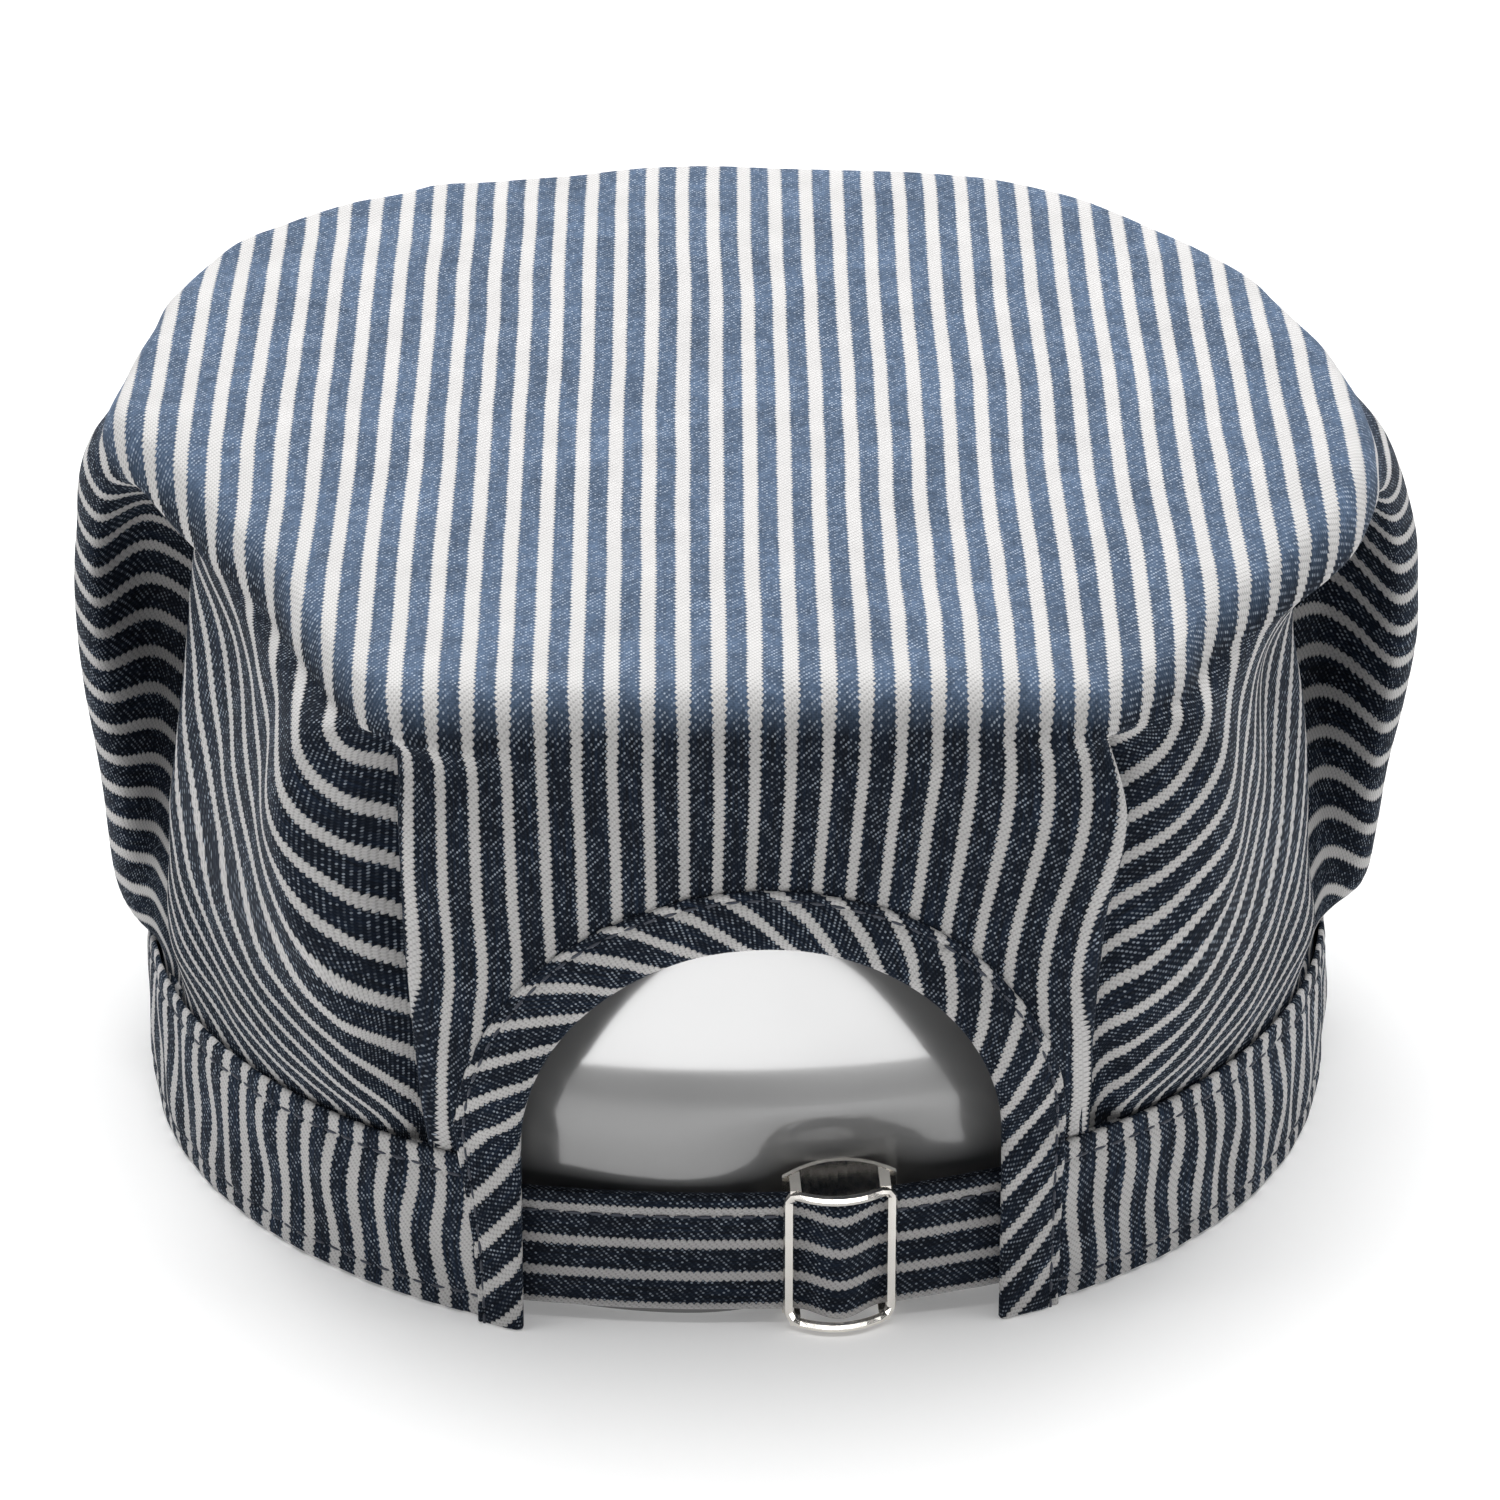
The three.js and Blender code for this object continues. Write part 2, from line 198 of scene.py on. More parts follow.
# the stripes and yarns, in millimetres or in yarns
weave = {
    "yarn": stripePitch / 15,
    "stripeWidth": 1.48, "stripeOffset": 2.5,
    "weftsPerScallop": 3.0, "scallopStep": 0.17,
    "scallopDepth": 0.38,
    "edgeWander": 0.36, "edgeBlur": 0.09,
    "paintedSheenWidens": 0.30,
    "twillStep": 3.0,
    "patchScale": 0.09, "dyeAndShadeMottleScale": 0.045,
    "slubScale": 0.42, "streakStretch": 0.03,
}


def hickoryGroup():
    group, entry, leave = newGroup("ShaderNodeTree", "hickoryCloth", [
        ("Cloth", "Vector", None),
        ("Pitch", "Float", stripePitch),
        ("Stripe Width", "Float", weave["stripeWidth"]),
        ("Stripe Offset", "Float", weave["stripeOffset"]),
        ("Yarn", "Float", weave["yarn"]),
        ("Indigo", "Color", (0.0042, 0.0068, 0.0125, 1)),
        ("Worn Indigo", "Color", (0.012, 0.022, 0.043, 1)),
        ("Fleck", "Color", (0.42, 0.48, 0.56, 1)),
        ("White", "Color", (0.66, 0.65, 0.645, 1)),
        # the next three paint the top lighter: a painted sheen standing in for the light that grazes it
        ("Fade", "Float", 0.0),
        ("Sheen Lit Indigo", "Color", (0.088, 0.132, 0.208, 1)),
        ("Sheen Lit Fleck", "Color", (0.48, 0.55, 0.66, 1)),
    ], [("Color", "Color"), ("Height", "Float"), ("White Mask", "Float")])
    w = Wiring(group)
    get = entry.outputs
    across, along, _ = w.node("ShaderNodeSeparateXYZ", (get["Cloth"],)).outputs
    warp = w.over(across, get["Yarn"])
    weft = w.over(along, get["Yarn"])

    # white stripes: each edge is scalloped once for every three wefts, out of step with the other
    phase = w.minus(across, get["Stripe Offset"])
    turn = w.math("FRACT", w.plus(w.over(phase, get["Pitch"]), 0.5))
    offCentre = w.times(w.minus(turn, 0.5), get["Pitch"])
    side = w.math("SIGN", offCentre)
    beat = w.plus(w.over(weft, weave["weftsPerScallop"]), w.times(side, weave["scallopStep"]))
    scallop = w.math("ABSOLUTE", w.math("SINE", w.times(beat, math.pi)))
    wander = w.minus(w.noise(w.join(warp, weft), 0.45, 2.0), 0.5)
    edge = w.plus(w.times(scallop, weave["scallopDepth"]), w.times(wander, weave["edgeWander"]))
    half = w.plus(w.times(get["Stripe Width"], 0.5), w.minus(edge, weave["scallopDepth"] / 2))
    # the white stripes also widen where the painted sheen lies
    half = w.plus(half, w.times(get["Fade"], weave["paintedSheenWidens"]))
    blur = weave["edgeBlur"]
    mask = w.ramp(w.minus(w.math("ABSOLUTE", offCentre), half), -blur, blur, 1.0, 0.0)

    # twill: where the pale weft shows between the warp's floats, one step along for each warp
    yarnAway = w.times(w.fromMiddle(warp), 2.0)
    step = w.plus(w.over(w.math("FLOOR", warp), weave["twillStep"]), w.over(weft, weave["twillStep"]))
    weftAway = w.times(w.fromMiddle(step), 5.0)
    dotAway = w.math("SQRT", w.plus(w.math("POWER", yarnAway, 2.0), w.math("POWER", weftAway, 2.0)))
    dot = w.ramp(dotAway, 0.45, 1.25, 1.0, 0.0)
    corner = w.join(w.math("FLOOR", warp), w.math("FLOOR", step))
    cell = w.node("ShaderNodeTexWhiteNoise", {"Vector": corner}, noise_dimensions="2D").outputs["Value"]
    place = w.join(across, along)
    patch = w.noise(place, weave["patchScale"], 3.0, 0.6)
    streak = w.noise(w.join(warp, w.times(weft, weave["streakStretch"])), 0.8, 2.0, 0.6)
    showing = w.times(dot, w.ramp(w.math("POWER", cell, 1.6), 0.0, 1.0, 0.03, 0.95))
    showing = w.times(showing, w.ramp(patch, 0.25, 0.75, 0.55, 1.0))

    # the dark yarns, worn in streaks; on the top they give way to a lighter indigo and lighter flecks, a
    # painted sheen, whose mottle is partly uneven dye and partly painted shade of the top's gentle
    # undulations, with slubs
    worn = w.times(w.ramp(streak, 0.35, 0.7), w.ramp(patch, 0.3, 0.7, 0.25, 1.0))
    dark = w.blend(worn, get["Indigo"], get["Worn Indigo"])
    # mottle on the top: partly uneven dye, partly painted shade standing in for the top's undulations
    dyeMottleAndShade = w.ramp(w.noise(place, weave["dyeAndShadeMottleScale"], 4.0, 0.65), 0.3, 0.7, 0.72, 1.14)
    dyeMottleAndShade = w.times(dyeMottleAndShade, w.ramp(streak, 0.2, 0.8, 0.86, 1.10))
    slub = w.noise(w.join(across, w.times(along, 0.8)), weave["slubScale"], 3.0, 0.7)
    dyeMottleAndShade = w.times(dyeMottleAndShade, w.ramp(slub, 0.3, 0.7, 0.78, 1.16))
    dark = w.blend(get["Fade"], dark, w.shade(get["Sheen Lit Indigo"], dyeMottleAndShade))
    dark = w.blend(showing, dark, w.blend(get["Fade"], get["Fleck"], get["Sheen Lit Fleck"]))
    # dark lines between the diagonals
    dark = w.shade(dark, w.ramp(w.fromMiddle(w.plus(step, 0.5)), 0.0, 0.16, 0.72, 1.0))

    shade = w.times(w.ramp(yarnAway, 0.55, 1.0, 1.0, 0.86), w.ramp(dot, 0.1, 1.0, 1.0, 0.70))
    shade = w.times(shade, w.ramp(patch, 0.2, 0.8, 0.93, 1.03))
    color = w.blend(mask, dark, w.shade(get["White"], shade))
    height = w.plus(w.times(mask, 0.55), w.minus(0.45, w.times(yarnAway, 0.25)))
    w.fill(leave, {"Color": color, "Height": w.minus(height, w.times(dot, 0.22)), "White Mask": mask})
    return group


hickory = hickoryGroup()


def startMaterial(name):
    material = bpy.data.materials.new(name)
    material.use_nodes = True
    tree = material.node_tree
    return material, tree.nodes["Principled BSDF"], Wiring(tree)


def denimMaterial(name, look, cloth=None, paintedSheenFrom=None):
    material, shader, w = startMaterial(name)
    uv = w.node("ShaderNodeUVMap", uv_map="cloth").outputs[0]
    woven = w.node("ShaderNodeGroup", node_tree=hickory)
    w.fill(woven, {"Cloth": uv, **(cloth or {})})
    # a point attribute that paints the top lighter, as painted sheen
    if paintedSheenFrom:
        w.fill(woven, {"Fade": w.node("ShaderNodeAttribute", attribute_name=paintedSheenFrom).outputs["Fac"]})
    w.fill(shader, {
        "Base Color": woven.outputs["Color"],
        "Roughness": w.ramp(woven.outputs["White Mask"], 0.0, 1.0,
                            look["darkRoughness"], look["whiteRoughness"]),
        "Specular IOR Level": look["specular"],
        "Sheen Weight": look["sheen"],
        "Sheen Roughness": 0.5,
        "Sheen Tint": (0.62, 0.75, 1.0, 1),
        "Normal": w.bump(woven.outputs["Height"], look["bump"], look["bumpReach"]),
    })
    return material


denimLook = {
    "darkRoughness": 0.7, "whiteRoughness": 0.85, "specular": 0.05, "sheen": 0.03,
    "bump": 0.9, "bumpReach": 0.00022,
}
# the crown's top gets the painted sheen
crownDenim = denimMaterial("crownDenim", denimLook, paintedSheenFrom="paintedSheen")
bandDenim = denimMaterial("bandDenim", denimLook, {
    "Stripe Width": 1.9, "Worn Indigo": (0.022, 0.038, 0.070, 1),
})
bindingDenim = denimMaterial("bindingDenim", denimLook)
# the strap's white is dimmer than the other pieces': painted shade for its place recessed in the opening
shadedStrapDenim = denimMaterial("shadedStrapDenim", denimLook, {
    "Pitch": 5.33, "Stripe Offset": 0.0, "Stripe Width": 1.4, "White": (0.58, 0.57, 0.57, 1),
})
peakDenim = denimMaterial("peakDenim", denimLook)


def nickelMaterial():
    material, shader, w = startMaterial("brushedNickel")
    grain = w.noise(w.objectPlace(), 900.0, 3.0, 0.6)
    w.fill(shader, {
        "Base Color": (0.83, 0.80, 0.75, 1),
        "Metallic": 1.0,
        "Roughness": w.ramp(grain, 0.25, 0.8, 0.14, 0.24),
        "Normal": w.bump(grain, 0.15, 0.0001),
    })
    return material


def plasticMaterial():
    material, shader, w = startMaterial("glossSheet")
    place = w.objectPlace()
    cloud = w.noise(place, 25.0)
    w.fill(shader, {
        "Base Color": w.blend(cloud, (0.23, 0.23, 0.23, 1), (0.28, 0.28, 0.28, 1)),
        "Roughness": w.ramp(cloud, 0.3, 0.7, 0.14, 0.24),
        "IOR": 1.7,
        "Specular IOR Level": 0.8,
        "Coat Weight": 1.0,
        "Coat IOR": 1.7,
        "Coat Roughness": 0.08,
        "Normal": w.bump(w.noise(place, 45.0), 0.05, 0.001),
    })
    return material


def threadMaterial(name, color):
    material, shader, w = startMaterial(name)
    ply = w.noise(w.objectPlace(), 4000.0, 1.0)
    bright = tuple(min(1.0, c * 1.8) for c in color[:3]) + (1,)
    w.fill(shader, {
        "Base Color": w.blend(ply, color, bright),
        "Roughness": w.ramp(ply, 0.3, 0.7, 0.5, 0.7),
        "Sheen Weight": 0.3,
    })
    return material


nickel = nickelMaterial()
glossSheet = plasticMaterial()
navyThread = threadMaterial("navyThread", (0.012, 0.018, 0.034, 1))
print("materials made")

crown = {
    "topForward": 10.0,
    "flatRadius": 187.0,
    "clothTurn": math.radians(1.93),
    "topHeight": 107.2,
    "topRise": 1 / 41, "topDish": 1.6,
    "seamHalfWidth": 91.3, "seamHalfLength": 93.3,
    "seamHeight": 27.0,
    "hangShare": 0.6,
    "lipReach": 3.8, "lipHeight": 28.6,
    "neckShare": 0.34, "panelNeckShare": 0.5,
    "edgeRadius": 3.6, "panelRadius": 6.6,
    "tuckHeight": 22.5,
    "lipShare": 0.55, "fullDrop": 9.0,
    "panelBack": 66, "panelBackFade": 24,
    "panelSide": 57, "panelSideFade": 14,
    "flapColumns": 6,
    "gatherSide": 24.0,
    "lateAt": 0.68, "lateSpread": 0.16,
    "paintedSheenFrom": 98.6, "paintedSheenOver": 5.6,
    "wall": 0.9,
    "columnStep": 2.1,
}
# rings on the top: how far out they lie, and how much they follow the edge's own height
topReaches = ((0.12, 0.0), (0.4, 0.0), (0.7, 0.0), (0.86, 0.1))
# rings round the edge: how far it has turned down, in degrees, and the same as above
edgeLeans = ((0, 0.4), (25, 0.6), (50, 0.8), (72, 0.95), (90, 1.0))
# the mesh's rows from each ring or level to the next, from the top's middle to the tuck
rowSteps = (5, 5, 5, 3, 3, 3, 3, 3, 3, 8, 12, 12, 9, 6, 5, 3)
# cloth is never quite even: scale, size in millimetres and place of each noise
clothWobble = ((0.035, 0.9, (0, 0, 0)), (0.09, 0.35, (7, 3, 1)))
stripeWobble = ((0.022, 0.55, (0, 9, 2)), (0.08, 0.16, (4, 0, 8)))
# The cloth's folds. Each has its plan place, out and forward, at the top's edge with its height,
# and at the three fold levels, then how far it hangs out below them, its turn round the band, how
# deep it lies inside the seam, and the cloth's own angle there, as cut. "late" is how much later
# than its neighbours the cloth is let down, "neck" how far it stands out right under the top's
# edge, and "drop" how far the fold hangs down over the band.
foldLevels = (84.0, 65.0, 46.0)
Fold = namedtuple("Fold", (
    "name out0 forward0 height out1 forward1 out2 forward2 out3 forward3 "
    "hang turn deep cut late neck drop"), defaults=(0.0,))
leftFolds = [Fold(*row) for row in (
    ("panelQuarter", 25, -94.2, 104.0, 25, -93.4, 25.1, -92.0, 25.2, -91.4, 0.3, 15.4, -0.2, 7.75, 0, 0.8),
    ("panelNear", 50.0, -92.4, 103.0, 49.0, -91.0, 48.8, -87.4, 47.6, -85.2, 0.3, 30.2, -0.5, 14.9, 0, -1.6),
    ("panelEdge", 53.6, -90.2, 102.4, 51.8, -89.0, 51.8, -84.9, 50.2, -82.6, 0.3, 32, -0.6, 15.7, 0, -2.4),
    ("pleatRoot", 54.2, -89.4, 102.2, 46, -83.5, 41, -82.0, 40, -80.6, 0, 28, 3.0, 24, 0, -4.4),
    ("pleatOut", 55.0, -88.4, 102.0, 53, -82.0, 51.2, -79.4, 49.6, -78.2, 0, 33.5, 2.2, 34, 0, -2.2),
    ("zoneMid", 57.5, -85.0, 101.6, 60, -82.2, 59, -80.4, 55, -78.2, 0.5, 35, 0.6, 35.5, 0.03, 0.4),
    ("ridge", 60.5, -79, 100.8, 68, -80, 67.5, -78, 61, -76.5, 1.0, 38, 0, 38, 0.11, 1.0),
    ("flankBack", 66, -61, 100.5, 71.5, -58, 74, -60, 72.5, -60, 1.5, 46, 0, 43, 0.15, 1.0),
    ("flank", 72, -42, 100, 75.5, -34, 80, -36, 81.5, -36, 1.5, 57, 0, 48, 0.15, 1.0),
    ("turn", 80.5, -24, 100, 84, -4, 86.5, -2, 88, -10, 2.0, 70, 0, 56, 0.1, 0.6),
    ("valley", 86, -11, 100.5, 81, 12, 79, 13, 82.5, 4, 1.0, 74, 1.2, 68, 0, -1.0),
    ("bulgeBack", 90.5, -2, 102.5, 91, 21, 90, 22, 89.5, 9, 1.2, 78.5, 0.3, 80, 0, -0.4, 1.0),
    ("bulgeFace", 95, 6, 103.4, 99.5, 12, 99.5, 10, 96.4, 1, 2.0, 84, 0.1, 85.5, 0, 0.6, 4.0),
    ("sideBulge", 98, 15, 104, 103, 20, 103.2, 18, 100.2, 13, 2.4, 92, 0, 90, 0, 1.0, 7.0),
)]
rightFolds = [Fold(*row) for row in (
    ("panelQuarter", 25, -94.4, 104.2, 25, -93.6, 25.1, -92.4, 25.2, -92.0, 0.3, 15.4, -0.2, 7.75, 0, 0.8),
    ("panelNear", 45.6, -94.8, 103.7, 48.6, -93.2, 46.4, -90.4, 45.6, -87.6, 0.3, 30.2, -0.5, 14.4, 0, -0.6),
    ("panelEdge", 48.4, -94.4, 103.4, 51.6, -92.0, 49.2, -88.4, 48.4, -85.4, 0.3, 32, -0.6, 15.2, 0, -1.6),
    ("pleatRoot", 49.2, -93.8, 103.0, 46, -86.4, 41, -85.0, 40, -82.8, 0, 28, 3.0, 24, 0, -3.8),
    ("pleatOut", 50.4, -92.6, 102.6, 53, -85.6, 51.0, -82.8, 49.6, -81.0, 0, 34.5, 2.2, 34, 0, -1.8),
    ("zoneMid", 55, -87.5, 101.8, 60, -84.5, 59.5, -81.3, 56, -79.6, 0.5, 36.5, 0.6, 35.5, 0.03, 0.4),
    ("ridge", 61, -81, 101, 67, -80.5, 68, -76, 63, -76, 1.0, 39, 0, 38, 0.08, 1.0),
    ("flankBack", 68, -66, 101, 72.5, -61, 74.5, -60, 73, -61, 1.5, 47, 0, 43, 0.1, 1.0),
    ("flank", 77, -54, 101, 77, -42, 80.5, -40, 81.5, -42, 1.5, 57, 0, 48, 0.1, 1.0),
    ("turn", 84, -44, 101, 84, -20, 87, -16, 88, -20, 2.0, 69.5, 0, 56, 0.08, 0.6),
    ("valley", 90, -34, 102, 82, -2, 80, 2, 84.5, -7, 1.0, 73.5, 1.2, 68, 0, -1.0),
    ("bulgeBack", 95.5, -20, 103.4, 92.5, 14, 92, 17, 91.5, 3, 1.4, 78, 0.3, 80, 0, -0.6, 1.0),
    ("bulgeFace", 97.6, -9, 103.8, 102.6, 3, 103.4, 3, 100, -3, 3.0, 83.5, 0.1, 85.5, 0, 0.4, 4.0),
    ("sideBulge", 98.6, 4, 104, 107, 12, 108, 12, 104.6, 9, 2.4, 91.5, 0, 90, 0, 1.0, 5.0),
)]
frontFolds = [Fold(*row) for row in (
    ("bulgeFront", 95.6, 33, 105, 99, 40, 98, 38, 95.5, 32, 1.4, 102, 0, 100, 0, 1.0, 4.0),
    ("frontValley", 91.6, 48, 105.6, 86, 47, 83, 44, 85, 38, 1.0, 109, 1.5, 110, 0, 0.6),
    ("frontTurn", 88.4, 60, 106, 86, 56, 84, 50, 84, 45, 1.5, 116, 0, 119, 0, 1.0),
    ("frontFlank", 78.5, 77, 106.5, 77, 67, 76.5, 59, 77, 53, 1.5, 125, 0, 128, 0, 1.0),
    ("frontRidge", 62, 96, 107.2, 63, 89, 63, 83, 61, 76.5, 1.0, 139, 0, 140, 0, 1.0),
    ("frontRoot", 53, 102.5, 107.6, 52, 93.5, 52.5, 87.5, 52, 80.5, 0, 144, 1.2, 144, 0, 0.6),
    ("frontFold", 49.5, 104.6, 107.8, 43, 98, 41, 91, 41, 84, 0, 149, 2.4, 154, 0, 0.6),
    ("frontEdge", 46, 106.5, 107.9, 47.5, 104, 48.5, 97.5, 49, 88.5, 0.3, 147.5, -0.3, 164, 0, 1.0),
)]
# how far the back panel's cloth is drawn in towards its middle, by height
gatherHeights = (30, 40, 46, 52, 57, 62, 68, 73, 80, 88, 96, 104)
gatherPull = (1.0, 1.3, 1.6, 2.4, 3.1, 3.1, 2.6, 2.0, 1.4, 0.8, 0.3, 0.0)
backMiddle = Fold("backMiddle", 0, -94.3, 104.2, 0, -93.6, 0, -92.6, 0, -93.2, 0.3, 0, 0, 0, 0, 1.0)
frontMiddle = Fold("frontMiddle", 0, 113.5, 108.5, 0, 112, 0, 106, 0, 99.5, 1.5, 180, 0, 180, 0, 1.0)
# the top's edge stands a little further out at the front of the left side
leftReach = {"frontValley": (0, 1), "frontTurn": (0.5, 4), "frontFlank": (3, 5), "frontRidge": (2, 1)}


def foldLine(fold, side):
    seam = wrapTurn(crown["seamHalfWidth"] - fold.deep, crown["seamHalfLength"] - fold.deep,
                    side * math.radians(fold.turn), crown["seamHeight"])
    low = np.array([side * fold.out3, fold.forward3, foldLevels[2]])
    hung = low + (seam - low) * crown["hangShare"]
    away = hung[:2] / np.linalg.norm(hung[:2])
    hung[:2] += away * fold.hang
    hung[2] -= fold.drop
    lip = hung + (seam - hung) * crown["lipShare"]
    over = np.array([*(seam[:2] + away * crown["lipReach"]), crown["lipHeight"]])
    lip += (over - lip) * min(fold.drop / crown["fullDrop"], 1.0)
    places = np.array([
        [side * fold.out0, fold.forward0, fold.height],
        [side * fold.out1, fold.forward1, foldLevels[0]],
        [side * fold.out2, fold.forward2, foldLevels[1]],
        low, hung, lip, seam,
    ])
    if side < 0:
        places[0, :2] += np.array([-1, 1]) * leftReach.get(fold.name, (0, 0))
    cutTurn = side * math.radians(fold.cut)
    flat = [crown["flatRadius"] * math.sin(cutTurn),
            crown["topForward"] - crown["flatRadius"] * math.cos(cutTurn)]
    return places, np.array(flat)


# a smooth curve from the second knot to the third, which passes all four evenly
def hermite(knots, values, t):
    q0, q1, q2, q3 = values
    a, b, c = [np.maximum(np.linalg.norm(p - q, axis=-1, keepdims=True) ** 0.5, 1e-3)
               for p, q in zip(knots, knots[1:])]
    leave = ((q1 - q0) / a - (q2 - q0) / (a + b) + (q2 - q1) / b) * b
    arrive = ((q2 - q1) / b - (q3 - q1) / (b + c) + (q3 - q2) / c) * b
    return ((2 * t**3 - 3 * t**2 + 1) * q1 + (t**3 - 2 * t**2 + t) * leave
            + (3 * t**2 - 2 * t**3) * q2 + (t**3 - t**2) * arrive)


# the folds' lines joined round the hat: a ring for each level, the flat cloth's edge, and for each
# column how late its cloth is let down, its neck and its share of the back panel
def foldRings():
    ordered = ([(backMiddle, 1)] + [(f, -1) for f in leftFolds + frontFolds]
               + [(frontMiddle, 1)] + [(f, 1) for f in reversed(rightFolds + frontFolds)])
    lines = [foldLine(f, side) for f, side in ordered]
    places = np.array([line[0] for line in lines])
    flats = np.array([line[1] for line in lines])
    widest = np.linalg.norm(places - np.roll(places, -1, axis=0), axis=2).max(axis=1)
    steps = [max(4, round(width / crown["columnStep"])) for width in widest]

    def joined(knots, values):
        columns = []
        for i, step in enumerate(steps):
            near = [(i + o) % len(steps) for o in (-1, 0, 1, 2)]
            columns.append(hermite(knots[near], values[near], (np.arange(step) / step)[:, None]))
        return np.concatenate(columns)

    rings = [joined(places[:, level], places[:, level]) for level in range(places.shape[1])]
    ends = np.concatenate([[0], np.cumsum(steps)])
    column = np.arange(ends[-1])
    folds = [f for f, _ in ordered + ordered[:1]]
    late = np.interp(column, ends, [f.late for f in folds])
    neck = np.interp(column, ends, [f.neck for f in folds])
    # the back panel reaches as far as the flaps' edges; the cloth under them fades out of it
    leftEdge, rightEdge = [ends[i] for i, f in enumerate(folds) if f.name == "panelEdge"]
    panel = np.clip(1 - (column - leftEdge) / crown["flapColumns"], 0, 1)
    panel += np.clip(1 - (rightEdge - column) / crown["flapColumns"], 0, 1)
    return rings, joined(places[:, -1], flats), late, neck, np.clip(panel, 0, 1)


# the rings of the top and its rounded edge, and how much further the cloth runs round that edge
def topRings(rim, out, back):
    radius = crown["edgeRadius"] + (crown["panelRadius"] - crown["edgeRadius"]) * back
    rings = []
    extras = []

    def add(ring, reach, drop, arc, extra):
        level = crown["topHeight"] + crown["topRise"] * ring[:, 1] - crown["topDish"] * (1 - reach)
        ring[:, 2] = level + (rim[:, 2] - level) * drop - arc
        rings.append(ring)
        extras.append(np.stack([out[:, 0] * (1 - back), out[:, 1]], axis=1) * extra[:, None])

    for reach, drop in topReaches:
        ring = rim.copy()
        ring[:, 0] *= reach
        ring[:, 1] = crown["topForward"] + (rim[:, 1] - crown["topForward"]) * reach
        add(ring, reach, drop, 0.0, 0.0 * radius)
    for lean, drop in edgeLeans:
        lean = math.radians(lean)
        ring = rim.copy()
        ring[:, :2] -= out * (radius * (1 - math.sin(lean)))[:, None]
        add(ring, 1.0, drop, radius * (1 - math.cos(lean)), radius * (lean - math.sin(lean)))
    return rings, extras


def crownSurface():
    levels, seamCut, late, neck, panel = foldRings()
    rim, high, seam = levels[0], levels[1], levels[-1]
    middle = np.array([0, crown["topForward"]])
    out = rim[:, :2] - middle
    out /= np.linalg.norm(out, axis=1)[:, None]
    # the edge is rounded most over the back panel
    back = np.clip((-rim[:, 1] - crown["panelBack"]) / crown["panelBackFade"], 0, 1)
    back *= np.clip((crown["panelSide"] - np.abs(rim[:, 0])) / crown["panelSideFade"], 0, 1)
    rings, extras = topRings(rim, out, back)
    neckShare = crown["neckShare"] + (crown["panelNeckShare"] - crown["neckShare"]) * back
    under = rim + (high - rim) * neckShare[:, None]
    under[:, :2] += out * neck[:, None]
    tuck = seam.copy()
    turns = np.arctan2(tuck[:, 0] / crown["seamHalfWidth"], -tuck[:, 1] / crown["seamHalfLength"])
    tuck[:, 0] = crown["seamHalfWidth"] * np.sin(turns)
    tuck[:, 1] = -crown["seamHalfLength"] * np.cos(turns)
    tuck[:, 2] = crown["tuckHeight"]
    rimRow = sum(rowSteps[:len(rings) - 1])
    rings += [under, *levels[1:], tuck]
    extras += [extras[-1]] * (len(rings) - len(extras))
    beyond = [2 * rings[0] - rings[1], *rings, 2 * rings[-1] - rings[-2]]
    grid = []
    extra = []
    for k, steps in enumerate(rowSteps):
        for i in range(steps):
            grid.append(hermite(beyond[k:k + 4], beyond[k:k + 4], i / steps))
            extra.append(extras[k] + (extras[k + 1] - extras[k]) * i / steps)
    grid = np.array(grid + rings[-1:])
    # each place's own place on the round cloth before it was sewn
    flat = grid[:, :, :2] + np.array(extra + extras[-1:])
    fall = np.linalg.norm(np.diff(grid[rimRow:], axis=0), axis=2)
    run = np.concatenate([np.zeros((1, fall.shape[1])), np.cumsum(fall, axis=0)])
    share = run / run[-1]
    share = (share - late * np.exp(-((share - crown["lateAt"]) / crown["lateSpread"]) ** 2))[..., None]
    flat[rimRow:] = flat[rimRow] + (seamCut - flat[rimRow]) * share
    # round the opening's arch the panel's stripes draw together, and spread again below
    pull = np.interp(grid[..., 2], gatherHeights, gatherPull)
    flat[..., 0] += pull * np.tanh(grid[..., 0] / crown["gatherSide"]) * panel[None, :]
    cos, sin = math.cos(crown["clothTurn"]), math.sin(crown["clothTurn"])
    x, y = flat[..., 0], flat[..., 1] - crown["topForward"]
    return grid, np.stack([x * cos - y * sin, -x * sin - y * cos], axis=-1)


opening = {
    "halfWidth": 35.3,
    "spring": 30.0,
    "height": 64.5,
    "binding": 9.6,
    "bindingLeftLeg": 6.6, "bindingRightLeg": 9.0,
    "cutBack": 2.5,
    "behind": -60.0,
}


def insideOpening(x, z, grow):
    halfWidth = opening["halfWidth"] + grow
    rise = opening["height"] - opening["spring"] + grow
    return (x / halfWidth) ** 2 + (max(z - opening["spring"], 0) / rise) ** 2 < 1


def wobble(points, layers):
    return np.array([
        sum(size * noise.noise(Vector(p) * scale + Vector(offset)) for scale, size, offset in layers)
        for p in points
    ])


